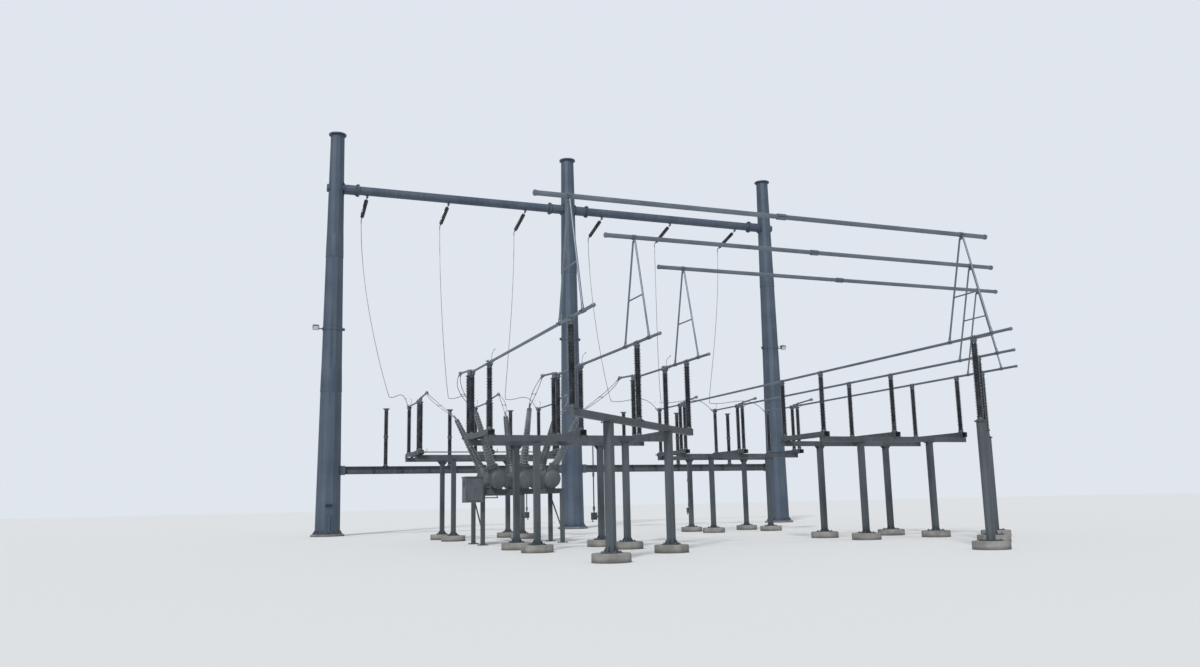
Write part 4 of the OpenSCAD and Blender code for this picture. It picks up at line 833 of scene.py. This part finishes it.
# Switch contacts and blades
# Jaws of spring-loaded fingers and hinge brackets of cast aluminium on the posts, an arcing horn of bent
# rod with a ball tip, and tube blades with clamped ends and a silvered tongue.
place = surface("contact_silver")
worn = place.noise(35.0, 3.0)
contact_silver = finish("contact_silver", worn.ramp((0.35, 0.0), (0.65, 1.0)).between(
    (0.42, 0.42, 0.41, 1.0), (0.62, 0.62, 0.60, 1.0)), worn * 0.2 + 0.2, 0.9)
climb = np.linspace(0.15, np.pi - 0.15, 9)
ball = turned(0.02 * np.stack([np.sin(climb), -np.cos(climb)], axis=-1), 12)
finger = plate([(0, 0), (0.12, 0), (0.135, 0.012), (0.12, 0.024), (0.03, 0.024), (0, 0.012)], 0.010, 0.002)
coil = np.linspace(0, 12 * np.pi, 49)
spring = turned(np.stack([0.011 + 0.003 * np.cos(coil), np.linspace(0.0, 0.045, 49)], axis=-1), 10)
arm_collar = turned([(0.040, 0.0), (0.052, 0.008), (0.052, 0.07), (0.040, 0.078)], 20)
blade_collar = turned([(0.039, 0.0), (0.050, 0.006), (0.050, 0.075), (0.039, 0.081)], 20)
for name, way in facing_way.items():
    at = facing(grid(line_x[name] + PHASE * phases, jaw_y[name], LOW_BUS_Z), (0, 0, 1), (way, 0, 0))
    # Along the switch the second axis runs from the jaw at 0 to the hinge at 2.5
    fingers, springs, nuts, pins = [], [], [], []
    for side in (-1, 1):
        out = (side, 0, 0)
        fingers.append(finger.at(facing(grid(side * 0.067, -0.075, (-0.06, -0.02, 0.02, 0.06)), (1, 0, 0))))
        springs.append(spring.at(facing(grid(side * 0.062, (-0.045, 0.045), (-0.04, 0.04)), out)))
        pins.append(bolts(0.016, grid(side * 0.105, (-0.045, 0.045), (-0.04, 0.04)), out))
        nuts.append(bolts(0.034, (side * 0.082, ROW_GAP, 0), out))
        nuts.append(bolts(0.016, grid(side * 0.062, ROW_GAP + both * 0.04, (-0.05, 0.07)), out))
        nuts.append(bolts(0.016, grid(side * 0.05, (2.75, 2.95), (-0.02, 0.06)), out))
    pad_nuts = bolts(0.014, grid((-0.025, 0.025), (-0.175, -0.225), 0.015))
    bridge_nuts = bolts(0.018, grid((-0.08, 0.08), (2.43, 2.57, 2.93, 3.07), -0.081))
    jaw_nuts = bolts(0.018, grid((-0.08, 0.08), (-0.08, 0.08), -0.081))
    arm_collars = arm_collar.at(facing([(0, 3.05, 0.115), (0, 4.18, 0.183)], (0, 1.38, 0.08)))
    tip = ball.at(facing((0.106, -0.3, 0.42)))
    piece(name + "_fittings", [
        (together(fingers).at(at), contact_silver), ((arm_collars + tip).at(at), weathered_aluminium),
        (together(springs + nuts + pins + [pad_nuts, bridge_nuts, jaw_nuts]).at(at), bolt_zinc)])
    blade_ends = blade_collar.at(facing([(0, 0.125, 0), (0, 2.26, 0)], (0, 1, 0)))
    tongue_face = block(0.10, 0.056, 0.01, 0.034, (0, 0, 0), (1, 0, 0), ease=0.002)
    collar_nuts = bolts(0.012, grid(0, (0.145, 0.185, 2.28, 2.32), 0.050))
    piece(name + "_blade_fittings", [
        (blade_ends.at(at), weathered_aluminium), (tongue_face.at(at), contact_silver),
        (collar_nuts.at(at), bolt_zinc)], body=name)
    coat(weathered_aluminium, name + "_contacts", name + "_blades")

# Switch drives
# A galvanised gang pipe with a lever in each line, coupled to a down pipe that a guide plate holds off its
# column. Its painted crank box has a hood, a hinged door and a hand crank.
GANG_Z = STAND_TOP + 0.095
past_hinge = HINGE_PAIR + PAST_ROW
drives = {"left_switch": (hinge_y["left_switch"], past_hinge, 1),
          "rear_switch": (hinge_y["rear_switch"], -past_hinge, 1),
          "right_switch": (jaw_y["right_switch"], PAST_ROW, -1)}
for name, (row_y, reach, column_side) in drives.items():
    drive_y, down_x, way = row_y + reach, line_x[name] + PHASE / 2 * column_side, np.sign(reach)
    at = facing((down_x, drive_y, 1.1), (0, 0, 1), (way, 0, 0))
    door = block(0.17, 0.225, 0.012, 0.012, (0, 0.084, 0), (0, 1, 0), (-1, 0, 0))
    hinges = turned([(0.008, -0.02), (0.008, 0.02)], 8).at(facing(grid(-0.09, 0.086, both * 0.07)))
    hub = turned([(0.03, 0.0), (0.03, 0.03), (0.018, 0.034), (0.018, 0.05)], 16).at(
        facing((0, 0.09, 0.02), (0, 1, 0)))
    crank = block(0.035, 0.26, 0.012, 0.012, (0, 0.14, -0.09), (0, 1, 0), (-1, 0, 0), 0.002)
    grip = turned([(0.012, 0.0), (0.016, 0.01), (0.016, 0.11), (0.012, 0.12)], 12).at(
        facing((0, 0.145, -0.20), (0, 1, 0)))
    hood = block(0.23, 0.19, 0.012, 0.014, (0, 0, 0.137), ease=0.004)
    couplings = turned([(0.025, 0.0), (0.042, 0.006), (0.042, 0.15), (0.025, 0.156)], 16).at(
        facing(grid(0, 0, (0.22, 1.5, 2.7))))
    coupling_nuts = bolts(0.012, grid(0, 0.042, (0.26, 0.34, 1.54, 1.62, 2.74, 2.82)), (0, 1, 0))
    guide = block(0.09, abs(reach) - 0.16, 0.01, 0.012, (0, (0.04 - abs(reach)) / 2, 1.9))
    lines = line_x[name] + PHASE * phases
    pipe_rings = turned([(0.026, 0.0), (0.04, 0.005), (0.04, 0.04), (0.026, 0.045)], 16).at(
        facing(grid(lines + 0.16, drive_y, GANG_Z), (1, 0, 0)))
    levers = plate([(-0.022, -0.02), (0.022, -0.02), (0.016, 0.15), (-0.016, 0.15)], 0.014, 0.002).at(
        facing(grid(lines + 0.24, drive_y, GANG_Z), (1, 0, 0)))
    lever_pins = bolts(0.018, grid(lines + 0.247, drive_y, GANG_Z + 0.13), (1, 0, 0))
    piece(name + "_drive_fittings", [
        ((door + hood).at(at), grey_paint),
        ((hinges + hub + crank + couplings + guide).at(at) + pipe_rings + levers, galvanised_steel),
        (grip.at(at), porcelain_glaze), (coupling_nuts.at(at) + lever_pins, bolt_zinc)])
    coat(galvanised_steel, name + "_drive")

# Circuit breaker tanks and frame
# Rolled and welded tanks in grey paint with bolted end covers, lifting lugs and banded turrets, carried on
# a galvanised frame.
low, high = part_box("breaker_tanks")
breaker_y = (low.y + high.y) / 2
TANK_Z, TANK_PITCH, TANK_HALF, FLANGE_Y, TURRET_Y, TURRET_RISE = 2.65, 1.15, 1.15, 1.11, 0.73, 0.61
BUSHING_LEAN, BUSHING_FAN, BUSHING_LENGTH = np.radians(21), np.radians(21), 3.1
FRAME_X, FRAME_Y = TANK_PITCH + 0.56, 0.8
tanks = facing(grid(left_x + TANK_PITCH * phases, breaker_y, TANK_Z))
dish = turned([(0.34, -0.01), (0.34, 0.018), (0.30, 0.024), (0.26, 0.05), (0.15, 0.075), (0.03, 0.082)], 32)
covers, cover_nuts, bushing_places = [], [], []
for side in (-1, 1):
    covers.append(dish.at(facing((0, side * TANK_HALF, 0), (0, side, 0))))
    covers.append(block(0.10, 0.10, 0.02, 0.03, (0, side * (FLANGE_Y + 0.01), 0.42), (0, 1, 0)))
    for way in (-1, 1):
        flange = (0, side * (FLANGE_Y + 0.03 * way), 0)
        cover_nuts.append(bolt_ring(0.022, flange, (0, side * way, 0), 0.372, 20))
    for k in phases:
        way = np.array([np.sin(k * BUSHING_FAN), side * np.cos(k * BUSHING_FAN) * np.sin(BUSHING_LEAN),
                        np.cos(k * BUSHING_FAN) * np.cos(BUSHING_LEAN)])
        root = np.array([left_x + k * TANK_PITCH, breaker_y + side * TURRET_Y, TANK_Z])
        bushing_places.append(facing(root, way)[0])
bushing_places = np.array(bushing_places)
turret = (turned([(0.22, 0.34), (0.236, 0.345), (0.236, 0.365), (0.232, 0.37)], 28)
          + turned([(0.225, 0.575), (0.262, 0.58), (0.262, 0.61), (0.225, 0.612)], 28)
          + turned([(0.232, 0.44), (0.240, 0.445), (0.240, 0.50), (0.232, 0.505)], 28))
turret_bolts = bolt_ring(0.018, (0, 0, 0.58), (0, 0, -1), 0.248, 16)
seams = turned([(0.348, -0.012), (0.355, -0.004), (0.355, 0.004), (0.348, 0.012)], 40).at(
    facing([(0, -0.25, 0), (0, 0.25, 0)], (0, 1, 0)))
fill_pipe = turned([(0.03, 0.33), (0.03, 0.40), (0.055, 0.40), (0.055, 0.42), (0.03, 0.425)], 16)
frame_feet = facing(grid(left_x + both * FRAME_X, breaker_y + both * FRAME_Y, 0.03))
frame_nuts = bolts(0.024, grid(both * 0.14, both * 0.14, 0.0)).at(frame_feet)
piece("breaker_tank_fittings", [
    ((together(covers) + seams + fill_pipe).at(tanks) + turret.at(bushing_places), grey_paint),
    (together(cover_nuts).at(tanks) + turret_bolts.at(bushing_places) + frame_nuts, bolt_zinc)])
coat(grey_paint, "breaker_tanks", "breaker_cabinet")
coat(galvanised_steel, "breaker_frame")

# Breaker bushings
# Tapered porcelain with close alternating sheds, cemented to a painted flange below and a metal head with
# a terminal stud above.
length = BUSHING_LENGTH - TURRET_RISE


def taper(profile, bottom, top, narrow):
    """A profile drawn in evenly from its bottom to a share of its width at its top."""
    share = np.clip((profile[:, 1:] - bottom) / (top - bottom), 0, 1)
    return np.concatenate([profile[:, :1] * (1 - (1 - narrow) * share), profile[:, 1:]], axis=1)


place = surface("grey_porcelain")
cloud = place.noise(2.0, 4.0)
rain = place.noise(16.0, 3.0, (1.0, 1.0, 0.2))
tone = (cloud * 0.5 + rain * 0.5).ramp((0.34, 0.0), (0.68, 1.0))
glaze = tone.between((0.105, 0.120, 0.135, 1.0), (0.225, 0.245, 0.262, 1.0))
grey_porcelain = finish("grey_porcelain", glaze, rain * 0.3 + 0.18, 0.0, rain, 0.0003, Coat_Weight=0.3)
stack = turned(taper(sheds(0.10, length - 0.12, 0.125, (0.188, 0.165), 0.062), 0.10, length, 0.60), 28)
neck = turned([(0.205, 0.0), (0.225, 0.006), (0.225, 0.03), (0.17, 0.05), (0.155, 0.115), (0.12, 0.12)], 28)
crown = turned([(0.07, length - 0.13), (0.095, length - 0.125), (0.098, length - 0.06),
                (0.07, length - 0.045), (0.03, length - 0.04), (0.03, length - 0.005), (0.024, length)])
neck_nuts = bolt_ring(0.018, (0, 0, 0.03), (0, 0, 1), 0.20, 12)
root, first, _, outward = bushing_places.transpose(1, 0, 2)
raised = facing(root + outward * TURRET_RISE, outward, first)
stud_clamp = block(0.09, 0.12, 0.01, 0.03, (0, 0, length - 0.03), (1, 0, 0))
stud_nuts = bolts(0.014, grid(0.015, (-0.03, 0.03), (length - 0.055, length - 0.01)), (1, 0, 0))
piece("breaker_bushing_set", [
    (stack.at(raised), grey_porcelain), (neck.at(raised), grey_paint),
    ((crown + stud_clamp).at(raised), weathered_aluminium), ((neck_nuts + stud_nuts).at(raised), bolt_zinc)],
    replaces=("breaker_bushings",))

# Breaker leads
# Twin stranded leads that rise out of the bushings' studs and arc over to the balls of the switch arms, held
# apart half way by a cast spacer that grips both.
leads, lead_barrels, spacers = [], [], []
NEAR, WIDE, SPACER_SHARE = 0.018, 0.1628, 0.41
ARM_REACH, ARM_RISE, BALL_GRIP = 1.88, 0.19, 0.0737
sideways = np.array([1.0, 0.0, 0.0])
thin_barrel = turned([(0.0165, 0.0), (0.022, 0.008), (0.022, 0.15), (0.0165, 0.165)], 12)
lobes = turned([(0.018, -0.022), (0.026, -0.018), (0.026, 0.018), (0.018, 0.022)], 12)
for root, _, _, way in bushing_places:
    side = np.sign(way[1])
    k = np.round((root[0] - left_x) / TANK_PITCH)
    tip = root + BUSHING_LENGTH * way
    arm_y = hinge_y["left_switch" if side < 0 else "rear_switch"] - side * ARM_REACH
    handle = np.array([0, -side * 1.13, -0.51])
    ball_middle = np.array([left_x + k * PHASE, arm_y, LOW_BUS_Z + ARM_RISE])
    arm = ball_middle + BALL_GRIP * handle / np.linalg.norm(handle)
    over_tip = sideways - way[0] * way
    over_tip = over_tip / np.linalg.norm(over_tip)
    for twin in (-1, 1):
        path = cubic([arm + twin * NEAR * sideways, arm + handle + twin * WIDE * sideways,
                      tip + 0.125 * way + twin * NEAR * over_tip, tip + twin * NEAR * over_tip], share)
        leads.append(swept(path, 0.015, 5, 0.22, 0.0016))
        lead_barrels.append(thin_barrel.at(both_ends(path)))
    middle = cubic([arm, arm + handle, tip + 0.125 * way, tip], np.array([SPACER_SHARE, SPACER_SHARE + 0.01]))
    along_lead = middle[1] - middle[0]
    grips = facing(middle[0] + 0.08 * sideways * both[:, None], along_lead)
    spacers.append(lobes.at(grips) + block(0.13, 0.022, 0.006, 0.016, middle[0], along_lead, sideways))
piece("breaker_lead_set", [(together(leads), stranded_aluminium),
                           (together(lead_barrels) + together(spacers), weathered_aluminium)],
      replaces=("breaker_leads",))

# Breaker cabinet
# Folded sheet in the same grey paint: two doors with hinges and a swing handle, a drip roof and louvres,
# joined to the tanks by bent conduit.
low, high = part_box("breaker_cabinet")
mid_x, front = (low.x + high.x) / 2, low.y + 0.014
door_spots = grid(mid_x + both * 0.16, front, low.z + 0.5)
doors = block(0.315, 0.84, 0.012, 0.014, door_spots, (0, -1, 0), ease=0.004)
knuckles = turned([(0.009, -0.03), (0.009, 0.03)], 8).at(
    facing(grid(mid_x + both * 0.325, front - 0.004, low.z + np.array([0.18, 0.5, 0.82]))))
handle_x = mid_x + 0.04
handle = block(0.03, 0.16, 0.012, 0.014, (handle_x, front - 0.028, low.z + 0.5), (0, -1, 0))
handle_hub = turned([(0.02, 0.0), (0.02, 0.028)], 12).at(
    facing((handle_x, front - 0.004, low.z + 0.54), (0, -1, 0)))
louvre = plate([(0, 0), (0.022, -0.012), (0.024, -0.006), (0.0, 0.012)], 0.3, 0.001)
louvre_z = low.z + 0.66 + 0.035 * np.arange(7)
louvres = louvre.at(facing(grid(low.x + 0.03, (low.y + high.y) / 2, louvre_z), (0, 1, 0), (-1, 0, 0)))


def pipe(points, radius, bend=0.12):
    """A bent conduit through corner points: straight runs joined by arcs drawn as parabolas, with the
    radius carried round the path in the plane square to it."""
    points = np.asarray(points, float)
    spots = [points[:1]]
    for before, corner, after in zip(points[:-2], points[1:-1], points[2:]):
        enter = corner + (before - corner) / np.linalg.norm(before - corner) * bend
        leave = corner + (after - corner) / np.linalg.norm(after - corner) * bend
        t = np.linspace(0, 1, 7)[:, None]
        spots.append((1 - t) ** 2 * enter + 2 * t * (1 - t) * corner + t ** 2 * leave)
    path = np.concatenate(spots + [points[-1:]])
    along = np.gradient(path, axis=0)
    along /= np.linalg.norm(along, axis=1, keepdims=True)
    first = np.cross(along, (0.31, 0.43, 0.85))
    first /= np.linalg.norm(first, axis=1, keepdims=True)
    second = np.cross(along, first)
    angle = np.arange(12) * np.pi / 6
    out = np.cos(angle)[:, None] * first[:, None] + np.sin(angle)[:, None] * second[:, None]
    return wrap(path[:, None] + radius * out)


conduits = []
for i, k in enumerate(phases):
    tank_x, z = left_x + k * TANK_PITCH, low.z + 0.18 + 0.1 * i
    near_y, far_y = low.y + 0.2 + 0.12 * i, breaker_y - 0.95 + 0.1 * i
    conduits.append(pipe([(high.x - 0.05, near_y, z), (tank_x, near_y, z), (tank_x, far_y, z),
                          (tank_x, far_y, TANK_Z - 0.33)], 0.022))
piece("breaker_cabinet_fittings", [
    (doors + louvres, grey_paint),
    (knuckles + handle + handle_hub + together(conduits), galvanised_steel)])
